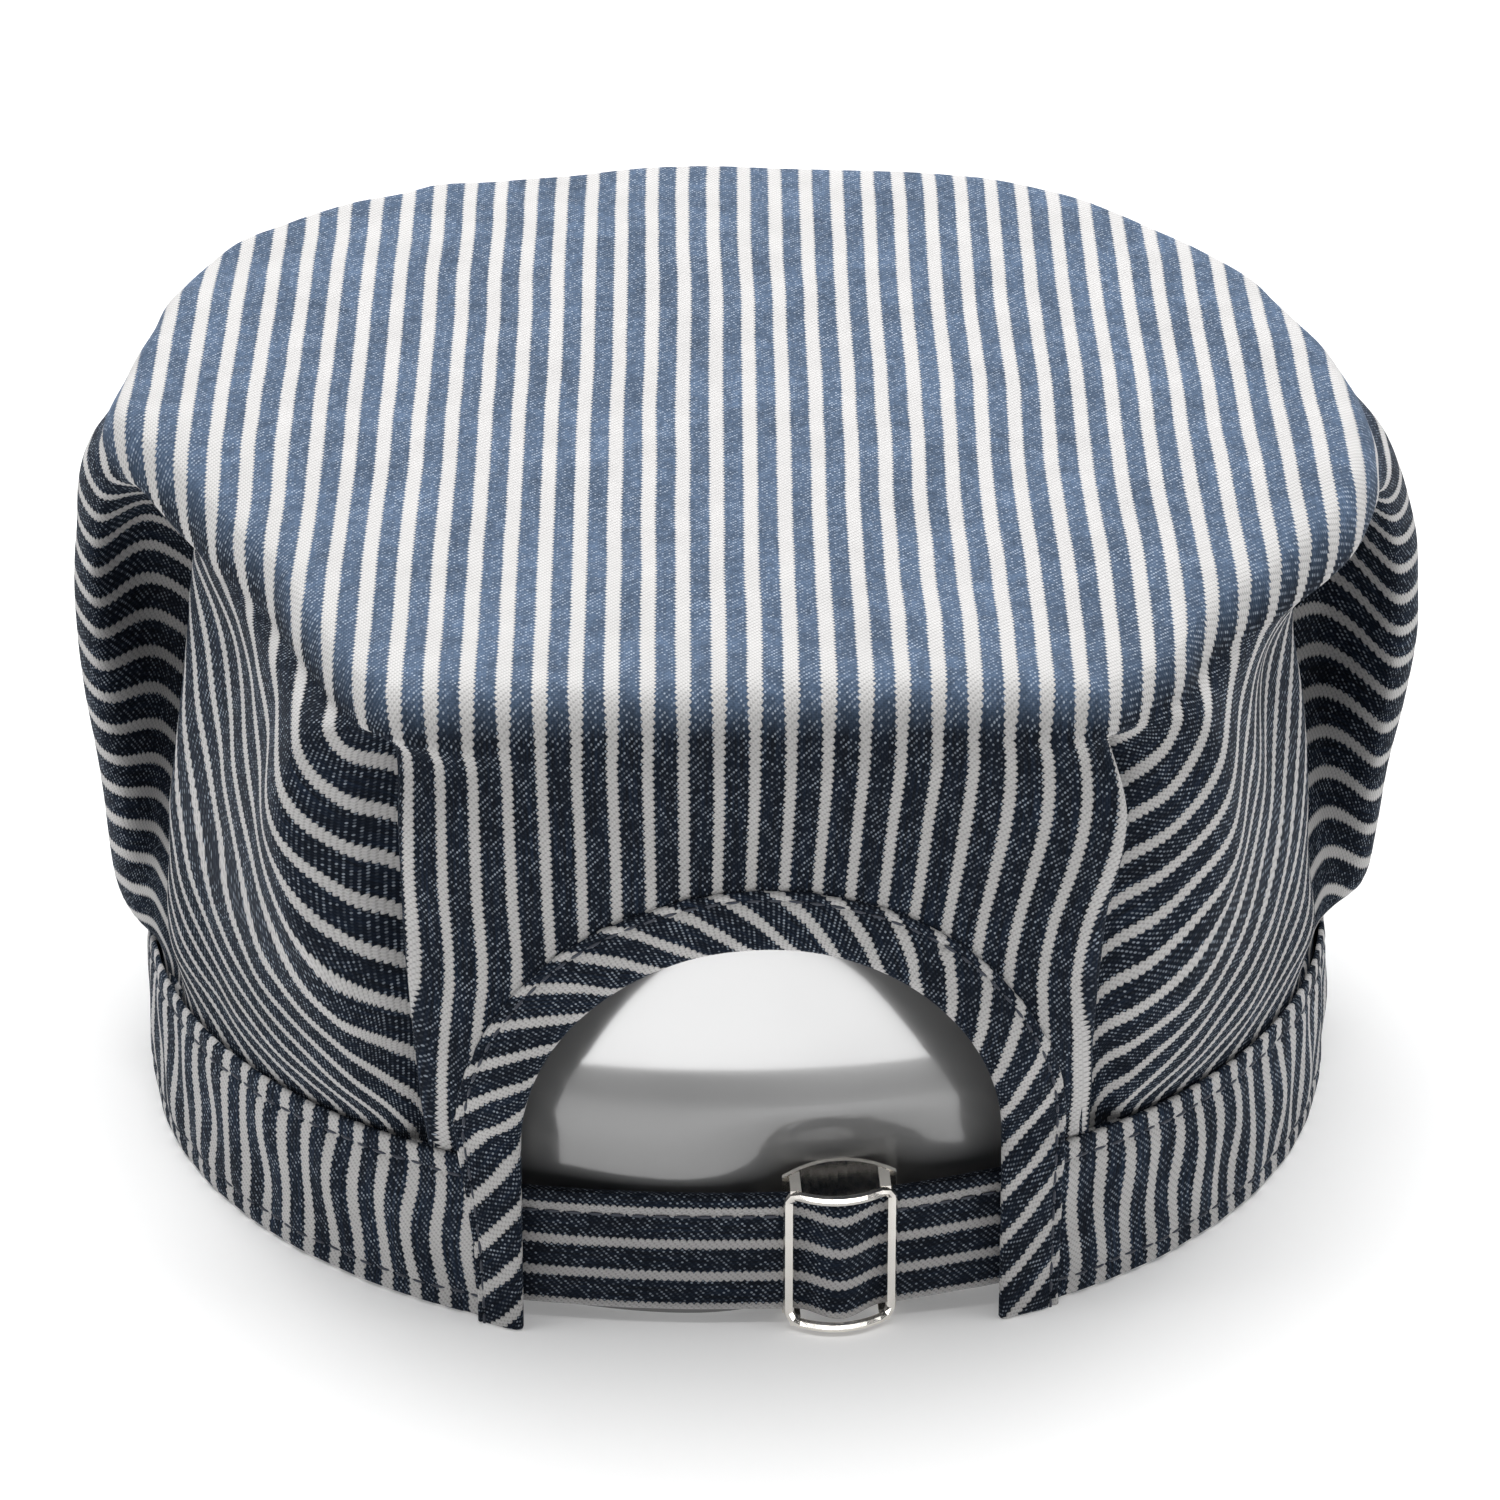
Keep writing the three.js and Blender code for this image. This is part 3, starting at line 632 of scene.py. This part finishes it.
def crownPiece():
    grid, cloth = crownSurface()
    rows, columns = grid.shape[:2]
    points = grid.reshape(-1, 3)
    # slight unevenness, as of cloth that was packed
    normal = np.cross(np.roll(grid, -1, 1) - np.roll(grid, 1, 1), np.gradient(grid, axis=0))
    normal /= np.maximum(np.linalg.norm(normal, axis=2), 1e-6)[..., None]
    # calmer on the top, and none left at the seam
    calm = np.ones(rows)
    calm[:12] = 0.8
    calm[-10:] = np.linspace(0.8, 0, 10)
    depth = wobble(points, clothWobble) * np.repeat(calm, columns)
    points = points - normal.reshape(-1, 3) * depth[:, None]
    cloth = cloth.reshape(-1, 2).copy()
    cloth[:, 0] += wobble(points, stripeWobble)
    faces, _ = loftFaces(rows, columns)
    middle = len(points)
    points = np.vstack([points, points[:columns].mean(axis=0)])
    cloth = np.vstack([cloth, cloth[:columns].mean(axis=0)])
    faces += [(middle, (j + 1) % columns, j) for j in range(columns)]
    tree = BVHTree.FromPolygons(points.tolist(), faces)
    centres = [points[list(face)].mean(axis=0) for face in faces]
    kept = [face for face, (x, y, z) in zip(faces, centres)
            if not (y < opening["behind"] and insideOpening(x, z, opening["cutBack"]))]
    used = sorted({i for face in kept for i in face})
    number = {old: new for new, old in enumerate(used)}
    kept = [tuple(number[i] for i in face) for face in kept]
    points = points[used]
    # painted sheen: the top is marked for a lighter colour above this height
    paintedSheen = np.clip((points[:, 2] - crown["paintedSheenFrom"]) / crown["paintedSheenOver"], 0, 1)
    piece = makePiece("crownCloth", points, kept, crownDenim, cloth[used], {"paintedSheen": paintedSheen})
    # the top has to face up, and so every other face away from the inside
    up = sum(p.normal.z for p in piece.data.polygons if p.center.z > 0.1)
    if up < 0:
        piece.data.flip_normals()
    wall = piece.modifiers.new("wall", "SOLIDIFY")
    wall.thickness = crown["wall"] * 0.001
    wall.offset = -1
    return piece, tree


crownCloth, crownTree = crownPiece()
print("crown made")

band = {
    "halfWidth": 92.5, "halfLength": 94.5,
    "height": 26.5,
    "layer": 0.75, "between": 1.0,
    "endHalfWidth": 38.0,
    "stationStep": 1.3,
    "fullness": 0.7,
    "pucker": 0.42,
    "stitchGroove": 0.35, "grooveWidth": 0.55,
    "topStitch": 23.4, "bottomStitch": 3.5,
}
# slight waves: wavelength along the band, up the band, start and size
bandRipples = ((12.7, 31.0, 0.0, 0.6), (21.0, -24.0, 1.0, 0.5))
# heights of the rows up the outer face, closer at the two lines of stitches
bandRowHeights = (
    0.5, 1.4, 2.4, 3.0, 3.5, 4.0, 4.8, 7, 9.5, 12, 14.5, 17, 19.5,
    21.3, 22.5, 23.0, 23.4, 23.9, 24.8, 25.8, 26.3,
)
stitchRows = ("topStitch", "bottomStitch")

# the way round the band at each turn
bandTurns = np.linspace(0, 2 * math.pi, 2001)
bandPlaces = np.stack([band["halfWidth"] * np.sin(bandTurns), -band["halfLength"] * np.cos(bandTurns)], -1)
bandArcs = np.concatenate([[0], np.cumsum(np.linalg.norm(np.diff(bandPlaces, axis=0), axis=1))])


def bandOuter(turn, z, sink=0.0):
    s = float(np.interp(turn % (2 * math.pi), bandTurns, bandArcs))
    ripple = sum(math.sin(2 * math.pi * (s / along + z / up) + start) * size
                 for along, up, start, size in bandRipples)
    ripple += noise.noise(Vector((s * 0.06, z * 0.05, 2.0))) * 0.9
    edge = math.sin(math.pi * min(max(z / band["height"], 0), 1)) ** 0.5
    bulge = band["pucker"] * ripple * edge + band["fullness"] * edge
    groove = sum(math.exp(-((z - band[row]) / band["grooveWidth"]) ** 2) for row in stitchRows)
    out = bulge - band["stitchGroove"] * groove - sink
    place = wrapTurn(band["halfWidth"], band["halfLength"], turn, z)
    normal = np.array([math.sin(turn) / band["halfWidth"], -math.cos(turn) / band["halfLength"], 0])
    normal /= np.linalg.norm(normal)
    return place + normal * out, normal, s


# how far the stripes stray to the side
def bandShift(s, z):
    return (0.55 * math.sin(2 * math.pi * (z / 19.0 + s / 95.0))
            + 0.5 * noise.noise(Vector((s * 0.05, z * 0.09, 5.0))))


def bandPiece():
    height, layer = band["height"], band["layer"]
    middle = layer + band["between"] / 2
    back = layer + band["between"]
    inside = 2 * layer + band["between"]
    start = math.asin(band["endHalfWidth"] / band["halfWidth"])
    stations = round(bandArcs[-1] / band["stationStep"])
    # the strip is doubled: up the outer face, over the top, down its back and round the hem
    profile = [(0.0, z) for z in bandRowHeights]
    profile += [(0.18, height), (layer - 0.15, height), (layer, height - 0.4)]
    profile += [(layer, z) for z in (20.0, 12.0, 4.0)]
    profile += [(middle, 2.2)]
    profile += [(back, z) for z in (4.0, 12.0, 20.0, height - 1.0)]
    profile += [(back + 0.2, height - 0.6), (inside - 0.2, height - 0.6), (inside, height - 1.0)]
    profile += [(inside, z) for z in (20.0, 12.0, 4.0, 1.2)]
    profile += [(inside - 0.5, 0.25), (middle, 0.0), (0.45, 0.05)]
    lengths = [0.0]
    for (a, b), (c, d) in zip(profile, profile[1:] + profile[:1]):
        lengths.append(lengths[-1] + math.hypot(c - a, d - b))
    rings = []
    cloth = []
    for i in range(stations + 1):
        turn = start + (2 * math.pi - 2 * start) * i / stations
        s = bandOuter(turn, 0.0)[2]
        rings.append([bandOuter(turn, z, sink)[0] for sink, z in profile])
        cloth.append([(s + bandShift(s, min(length, 30.0)), length) for length in lengths])
    return loft("bandCloth", rings, cloth, bandDenim)


bandCloth = bandPiece()
# the band's face goes on across the opening for what lies there
backTurns = range(-60, 61, 2)
backSize = [band[key] + band["fullness"] for key in ("halfWidth", "halfLength")]
bandTree = BVHTree.FromPolygons(
    [tuple(wrapTurn(*backSize, math.radians(a), z)) for z in (-2, 27) for a in backTurns],
    [(i, i + 1, i + 1 + len(backTurns), i + len(backTurns)) for i in range(len(backTurns) - 1)])
print("band made")


# the outer face of crown or band, at a place in the opening's plane, seen from far behind
seamBlend = {"crownLowest": 30.0, "bandHighest": 26.0, "from": 24.0, "over": 8.0, "seenFrom": -200}


def backY(x, z):
    def hit(tree, height):
        return tree.ray_cast(Vector((x, seamBlend["seenFrom"], height)), Vector((0, 1, 0)))[0].y

    share = min(max((z - seamBlend["from"]) / seamBlend["over"], 0.0), 1.0)
    share = share * share * (3 - 2 * share)
    return (hit(bandTree, min(z, seamBlend["bandHighest"])) * (1 - share)
            + hit(crownTree, max(z, seamBlend["crownLowest"])) * share)


def openingOutline(grow, leftLeg, rightLeg, legSteps=14, archSteps=64):
    halfWidth, spring = opening["halfWidth"], opening["spring"]
    rise = opening["height"] - spring

    def leg(side, legGrow):
        shares = [i / legSteps for i in range(legSteps)]
        return [(side * (halfWidth + legGrow + (grow - legGrow) * t * t), spring * t) for t in shares]

    turns = [math.pi * (1 - i / archSteps) for i in range(archSteps + 1)]
    arch = [((halfWidth + grow) * math.cos(turn), spring + (rise + grow) * math.sin(turn)) for turn in turns]
    return leg(-1, leftLeg) + arch + leg(1, rightLeg)[::-1]


binding = {
    "slant": math.radians(-47),
    "edgeWaver": 0.055,
    "pucker": 0.55,
    "lowest": 0.2,
    "closing": 3,
}
# across from the opening (0) to the outer edge (1), and how far the cloth stands off the crown
bindingProfile = [
    (1.0, 0.12), (0.995, 0.7), (0.96, 0.92), (0.91, 0.8), (0.86, 0.55), (0.81, 0.82), (0.7, 1.0),
    (0.5, 1.06), (0.3, 1.02), (0.15, 0.92), (0.05, 0.65), (0.0, 0.1), (-0.02, -0.7), (0.02, -1.5),
    (0.12, -1.95), (0.4, -2.05), (0.8, -2.0), (0.95, -1.8), (0.96, -1.3), (0.6, -1.15), (0.16, -1.1),
    (0.1, -0.5), (0.16, 0.08), (0.6, 0.12),
]


def bindingPiece():
    inner = openingOutline(0, 0, 0)
    outer = openingOutline(opening["binding"], opening["bindingLeftLeg"], opening["bindingRightLeg"])
    rings = []
    cloth = []
    run = 0.0
    cos, sin = math.cos(binding["slant"]), math.sin(binding["slant"])
    for i, (near, far) in enumerate(zip(inner, outer)):
        if i:
            run += math.hypot(near[0] - inner[i - 1][0] + far[0] - outer[i - 1][0],
                              near[1] - inner[i - 1][1] + far[1] - outer[i - 1][1]) / 2
        width = math.hypot(far[0] - near[0], far[1] - near[1])
        ring = []
        lengths = [0.0]
        previous = None
        for a, d in bindingProfile:
            pucker = noise.noise(Vector((run * 0.30, a * 2.2, 4.0)))
            if a > 0.3:
                a += binding["edgeWaver"] * noise.noise(Vector((run * 0.42, 1.0, 6.0)))
            if d > 0:
                d *= 1 + binding["pucker"] * pucker
            x = near[0] + (far[0] - near[0]) * a
            z = max(near[1] + (far[1] - near[1]) * a, binding["lowest"])
            ring.append((x, backY(x, z) - d, z))
            if previous:
                lengths.append(lengths[-1] + math.hypot((a - previous[0]) * width, d - previous[1]))
            previous = (a, d)
        lengths.append(lengths[-1] + binding["closing"])
        rings.append(ring)
        cloth.append([(run * cos + length * sin, -run * sin + length * cos) for length in lengths])
    return loft("archBindingCloth", rings, cloth, bindingDenim), inner, outer


archBindingCloth, innerOutline, outerOutline = bindingPiece()
print("binding made")

strap = {
    "wall": 1.7,
    "bottom": 2.4, "top": 21.4,
    "outerY": -88.2,
    "sag": 4.2,
    "reach": 38.0,
    "tilt": 1.3,
    "slideCentre": 11.5, "slideHalfWidth": 7.6,
    "slideBar": 1.6,
    "windowBulge": 4.0,
    "corner": 0.55,
    "bevel": 0.25,
    "rows": 12,
    "stitchDown": 3.4,
    "stitchGroove": 0.25,
    "crease": 0.15,
    "stripeOuter": 2.8, "stripeInner": 1.2,
}


def strapY(x):
    rest = strap["outerY"] + strap["sag"] * (x / opening["halfWidth"]) ** 2
    offset = abs(x - strap["slideCentre"]) / (strap["slideHalfWidth"] - strap["slideBar"] / 2)
    lift = strap["windowBulge"] * math.cos(offset * math.pi / 2) ** 2 if offset < 1 else 0
    return rest - lift


def strapPiece(name, start, end, steps, tilt):
    rings = []
    cloth = []
    run = 0.0
    wall, corner, bevel, bottom = [strap[key] for key in ("wall", "corner", "bevel", "bottom")]
    height = strap["top"] - bottom
    profile = [(bevel, 0.0), (0.0, corner)]
    profile += [(0.0, height * k / strap["rows"]) for k in range(1, strap["rows"])]
    profile += [(0.0, height - corner), (bevel, height), (wall - bevel, height)]
    profile += [(wall, height - corner), (wall, height / 2), (wall, corner), (wall - bevel, 0.0)]
    stitchRow = height - strap["stitchDown"]
    for i in range(steps + 1):
        x = start + (end - start) * i / steps
        lift = tilt * i / steps
        y = strapY(x)
        if i:
            run += math.hypot(x - previous[0], y - previous[1])
        previous = (x, y)
        ring = []
        flats = []
        for depth, z in profile:
            groove = 0.0 if depth else strap["stitchGroove"] * math.exp(-((z - stitchRow) / 0.6) ** 2)
            crease = strap["crease"] * noise.noise(Vector((x * 0.12, z * 0.1, 9.0)))
            ring.append((x, y + depth + groove + crease, bottom + z + lift))
            flats.append((bottom + z - strap["stripeOuter" if depth < 1 else "stripeInner"], run))
        flats.append(flats[0])
        rings.append(ring)
        cloth.append(flats)
    return loft(name, rings, cloth, shadedStrapDenim)


slideEnd = strap["slideCentre"] + strap["slideHalfWidth"]
strapLongCloth = strapPiece("strapLongCloth", -strap["reach"], slideEnd, 96, 0.0)
strapShortCloth = strapPiece("strapShortCloth", slideEnd + 0.3, strap["reach"], 36, strap["tilt"])
print("strap made")

insert = {
    "halfWidth": 87.0, "halfLength": 86.0,
    "bottom": 0.3,
    "bend": 34.0, "bendRound": 7.0,
    "top": 62.0,
    "lean": 12.0,
    "wall": 1.0,
    "dent": 5.6, "dentReach": 13.0,
    "dentTop": 33.0, "dentFade": 9.0,
    "stations": 240,
}


def insertPlace(turn, z, wall):
    t = (z - insert["bend"]) / insert["bendRound"]
    soft = 0 if t < -1 else t if t > 1 else (t + 1) ** 2 / 4
    lean = insert["lean"] * soft * insert["bendRound"] / (insert["top"] - insert["bend"])
    place = wrapTurn(insert["halfWidth"] - lean - wall, insert["halfLength"] - lean - wall, turn, z)
    if place[1] < 0:
        fall = min(max((insert["dentTop"] - z) / insert["dentFade"], 0.0), 1.0)
        across = (place[0] - strap["slideCentre"]) / insert["dentReach"]
        place[1] += insert["dent"] * fall * math.exp(-across ** 2)
    return place


def insertPiece():
    low, high = insert["bend"] - insert["bendRound"], insert["bend"] + insert["bendRound"]
    heights = np.concatenate([
        [insert["bottom"]], np.linspace(4, low, 5), np.linspace(low + 1.5, high, 9),
        np.linspace(high + 4, insert["top"], 5),
    ])
    profile = [(0.0, z) for z in heights] + [(insert["wall"], z) for z in heights[::-1]]
    turns = [2 * math.pi * i / insert["stations"] for i in range(insert["stations"])]
    rings = [[insertPlace(turn, z, wall) for wall, z in profile] for turn in turns]
    cloth = np.zeros((len(rings) + 1, len(profile) + 1, 2))
    return loft("insertSheet", rings, cloth, glossSheet, closed=True)


insertSheet = insertPiece()
print("insert made")

peak = {
    "cornerTurn": math.radians(66.0),
    "tip": 152.0,
    "cornerHalfWidth": 87.0,
    "bandGap": 0.9,
    "wall": 3.6, "edgeWall": 2.4,
    "rise": 5.5, "gap": 0.4,
    "faceEnds": 0.985,
    "underCloth": 400,
    "across": 120, "along": 26,
}
# the rounded edge: share outward and share of the wall up
peakEdge = ((0.997, 0.18), (1.0, 0.5), (0.997, 0.82))


# t runs across from -1 to 1, b outward from 0 to 1, layer from the under face to the upper
def peakPoint(t, b, layer):
    halfWidth, halfLength = band["halfWidth"] + peak["bandGap"], band["halfLength"] + peak["bandGap"]
    root = wrapTurn(halfWidth, halfLength, math.pi - peak["cornerTurn"] * t, 0)
    cornerY = halfLength * math.cos(peak["cornerTurn"])
    angle = t * math.pi / 2
    edge = np.array([peak["cornerHalfWidth"] * math.sin(angle),
                     cornerY + (peak["tip"] - cornerY) * math.cos(angle), 0])
    place = root + (edge - root) * b
    rise = peak["rise"] * b * math.cos(angle)
    wall = peak["wall"] + (peak["edgeWall"] - peak["wall"]) * b * b
    place[2] = peak["gap"] + rise + wall * layer
    return place


def peakPiece():
    across, along = peak["across"], peak["along"]
    reaches = [j / along * peak["faceEnds"] for j in range(along + 1)]
    profile = [(b, 0.0) for b in reaches] + list(peakEdge) + [(b, 1.0) for b in reversed(reaches)]
    rings = []
    cloth = []
    for i in range(across + 1):
        t = -1 + 2 * i / across
        t = math.copysign(min(abs(t), 0.9995), t) if t else 0.0
        ring = [peakPoint(t, b, layer) for b, layer in profile]
        rings.append(ring)
        flats = [(p[0], p[1] if k <= along else peak["underCloth"] - p[1]) for k, p in enumerate(ring)]
        cloth.append(flats + flats[:1])
    return loft("peakCloth", rings, cloth, peakDenim)


peakCloth = peakPiece()
print("peak made")


def stitchTree():
    tree, entry, leave = newGroup("GeometryNodeTree", "stitchRun", [
        ("Geometry", "Geometry", None),
        ("Spacing", "Float", 0.0032),
        ("Length", "Float", 0.0024),
        ("Thickness", "Float", 0.0005),
        ("Unevenness", "Float", 0.15),
        ("Seed", "Int", 3),
        ("Thread", "Material", None),
    ], [("Geometry", "Geometry")])
    w = Wiring(tree)
    get = entry.outputs
    curve = w.node("GeometryNodeMeshToCurve", {"Mesh": get["Geometry"]}).outputs[0]
    dots = w.node("GeometryNodeResampleCurve", mode="LENGTH")
    w.fill(dots, {"Curve": curve, "Length": get["Spacing"]})
    tangent = w.node("GeometryNodeInputTangent").outputs[0]
    along = w.node("FunctionNodeAlignRotationToVector", {"Vector": tangent}, axis="X").outputs[0]
    ball = w.node("GeometryNodeMeshUVSphere", {"Segments": 8, "Rings": 5, "Radius": 0.5}).outputs[0]
    lowest = w.minus(1.0, get["Unevenness"])
    uneven = w.node("FunctionNodeRandomValue", {2: lowest, 3: 1.0, "Seed": get["Seed"]}, data_type="FLOAT")
    size = w.join(w.times(get["Length"], uneven.outputs[1]), get["Thickness"], get["Thickness"])
    balls = w.node("GeometryNodeInstanceOnPoints", {
        "Points": dots.outputs[0], "Instance": ball, "Rotation": along, "Scale": size,
    }).outputs[0]
    solid = w.node("GeometryNodeRealizeInstances", (balls,)).outputs[0]
    painted = w.node("GeometryNodeSetMaterial", {"Geometry": solid, "Material": get["Thread"]})
    w.fill(leave, (painted.outputs[0],))
    return tree


stitchRun = stitchTree()


def stitches(name, runs, values):
    points = []
    edges = []
    for run in runs:
        first = len(points)
        points += [tuple(p) for p in run]
        edges += [(first + i, first + i + 1) for i in range(len(run) - 1)]
    mesh = bpy.data.meshes.new(name + "Path")
    mesh.from_pydata(toRow(points).tolist(), edges, [])
    carrier = addObject(name + "Path", mesh)
    modifier = carrier.modifiers.new("stitchRun", "NODES")
    modifier.node_group = stitchRun
    identifier = {s.name: s.identifier for s in stitchRun.interface.items_tree
                  if s.item_type == "SOCKET" and s.in_out == "INPUT"}
    for key, value in {**values, "Thread": navyThread}.items():
        modifier[identifier[key]] = value
    depsgraph = bpy.context.evaluated_depsgraph_get()
    made = bpy.data.meshes.new_from_object(carrier.evaluated_get(depsgraph))
    made.name = name
    bpy.data.objects.remove(carrier)
    made.polygons.foreach_set("use_smooth", [True] * len(made.polygons))
    return addObject(name, made)


wideStitch = {"Spacing": 0.0033, "Length": 0.0026, "Thickness": 0.0005}
closeStitch = {"Spacing": 0.0030, "Length": 0.0024, "Thickness": 0.0005}
seams = {
    "bandEnd": 42.0, "bandProud": 0.05,
    "bandPoints": 600,
    "bindingAcross": 0.86, "bindingProud": 0.62,
    "bindingLowest": 0.5,
    "strapSunk": 0.12, "strapPoints": 60,
    "peakRows": (0.90, 0.72, 0.54, 0.36),
    "peakHalf": 0.93, "peakProud": 0.02,
    "peakPoints": 120,
}


def bandSeam(height):
    start = math.asin(seams["bandEnd"] / band["halfWidth"])
    run = []
    for i in range(seams["bandPoints"]):
        turn = start + (2 * math.pi - 2 * start) * i / (seams["bandPoints"] - 1)
        place, normal, _ = bandOuter(turn, height)
        run.append(place + normal * seams["bandProud"])
    return run


def bindingSeam():
    run = []
    for near, far in zip(innerOutline, outerOutline):
        x, z = [a + (b - a) * seams["bindingAcross"] for a, b in zip(near, far)]
        z = max(z, seams["bindingLowest"])
        run.append((x, backY(x, z) - seams["bindingProud"], z))
    return run


def strapSeam(start, end, tilt):
    last = seams["strapPoints"] - 1
    height = strap["top"] - strap["stitchDown"]
    places = [(start + (end - start) * i / last, tilt * i / last) for i in range(last + 1)]
    return [(x, strapY(x) + seams["strapSunk"], height + lift) for x, lift in places]


def peakSeam(b):
    half, last = seams["peakHalf"], seams["peakPoints"] - 1
    return [peakPoint(-half + 2 * half * i / last, b, 1.0) + np.array([0, 0, seams["peakProud"]])
            for i in range(last + 1)]


bandStitches = stitches("bandStitches", [bandSeam(band[row]) for row in stitchRows], wideStitch)
bindingStitches = stitches("bindingStitches", [bindingSeam()], closeStitch)
strapStitches = stitches("strapStitches", [
    strapSeam(-strap["reach"] + 1, 4.5, 0.0),
    strapSeam(slideEnd + 1.5, strap["reach"] - 1, strap["tilt"]),
], closeStitch)
peakStitches = stitches("peakStitches", [peakSeam(b) for b in seams["peakRows"]], wideStitch)
print("stitches made")

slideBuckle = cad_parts["slide_buckle"]
slideBuckle.data.materials.clear()
slideBuckle.data.materials.append(nickel)
for polygon in slideBuckle.data.polygons:
    polygon.material_index = 0

for piece, node, slotName in (
    (crownCloth, "crown", "denim_crown"),
    (bandCloth, "band", "denim_band"),
    (archBindingCloth, "arch_binding", "denim_binding"),
    (peakCloth, "peak", "denim_peak"),
    (strapLongCloth, "strap_long", "denim_strap"),
    (strapShortCloth, "strap_short", "denim_strap"),
    (insertSheet, "shaping_insert", "insert_plastic"),
):
    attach(piece, "root")
    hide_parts(node)

for piece, slotName in (
    (bandStitches, "denim_band"),
    (bindingStitches, "denim_binding"),
    (strapStitches, "denim_strap"),
    (peakStitches, "denim_peak"),
):
    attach(piece, "root")


def floorPiece(half):
    material, shader, w = startMaterial("paleFloor")
    cloud = w.noise(w.objectPlace(), 3.0)
    w.fill(shader, {
        "Base Color": w.blend(cloud, (0.86, 0.86, 0.86, 1), (0.88, 0.88, 0.88, 1)),
        "Roughness": 0.9,
        "Specular IOR Level": 0.1,
        "Emission Color": (1, 1, 1, 1),
        "Emission Strength": 0.21,
    })
    mesh = bpy.data.meshes.new("floor")
    corners = [(-half, -half, 0), (half, -half, 0), (half, half, 0), (-half, half, 0)]
    mesh.from_pydata(corners, [], [(0, 1, 2, 3)])
    mesh.materials.append(material)
    addObject("floor", mesh)


floorPiece(6.0)

view = {"place": (-0.03815, -0.9504, 0.4855), "pitch": 25.15, "yaw": 2.5, "lens": 156.1, "sensor": 36.0}
cameraData = bpy.data.cameras.new("camera")
cameraData.lens = view["lens"]
cameraData.sensor_width = view["sensor"]
cameraData.clip_start = 0.01
camera = addObject("camera", cameraData)
camera.location = view["place"]
camera.rotation_euler = (math.radians(90 - view["pitch"]), 0, math.radians(-view["yaw"]))
bpy.context.scene.camera = camera


def areaLight(name, place, target, size, power, onlyGloss=False):
    data = bpy.data.lights.new(name, "AREA")
    data.shape = "RECTANGLE"
    data.size, data.size_y = size
    data.energy = power
    light = addObject(name, data)
    light.location = place
    light.rotation_euler = (Vector(target) - Vector(place)).to_track_quat("-Z", "Y").to_euler()
    light.visible_diffuse = not onlyGloss


areaLight("overhead", (0.0, 0.25, 1.5), (0, 0, 0), (1.8, 1.5), 39)
areaLight("behind", (0.0, 1.6, 0.9), (0, 0, 0.1), (2.2, 1.0), 14)
areaLight("sideLeft", (-1.7, -0.3, 0.5), (0, 0, 0.05), (0.9, 0.9), 3.9)
areaLight("sideRight", (1.7, -0.3, 0.5), (0, 0, 0.05), (0.9, 0.9), 3.9)
# these two only show in the sheet and the metal
areaLight("frontStrip", (0.0, -1.42, 0.66), (0, 0, 0.05), (3.8, 0.54), 31.0, True)
areaLight("frontGlow", (0.0, -1.38, 0.20), (0, 0, 0.15), (3.8, 0.40), 3.8, True)

world = bpy.data.worlds.new("studio")
world.use_nodes = True
backdrop = world.node_tree.nodes["Background"]
Wiring(world.node_tree).fill(backdrop, {"Color": (1, 1, 1, 1), "Strength": 0.03})
bpy.context.scene.world = world
bpy.context.scene.view_settings.view_transform = "Standard"
print("studio made")

bpy.context.view_layer.update()
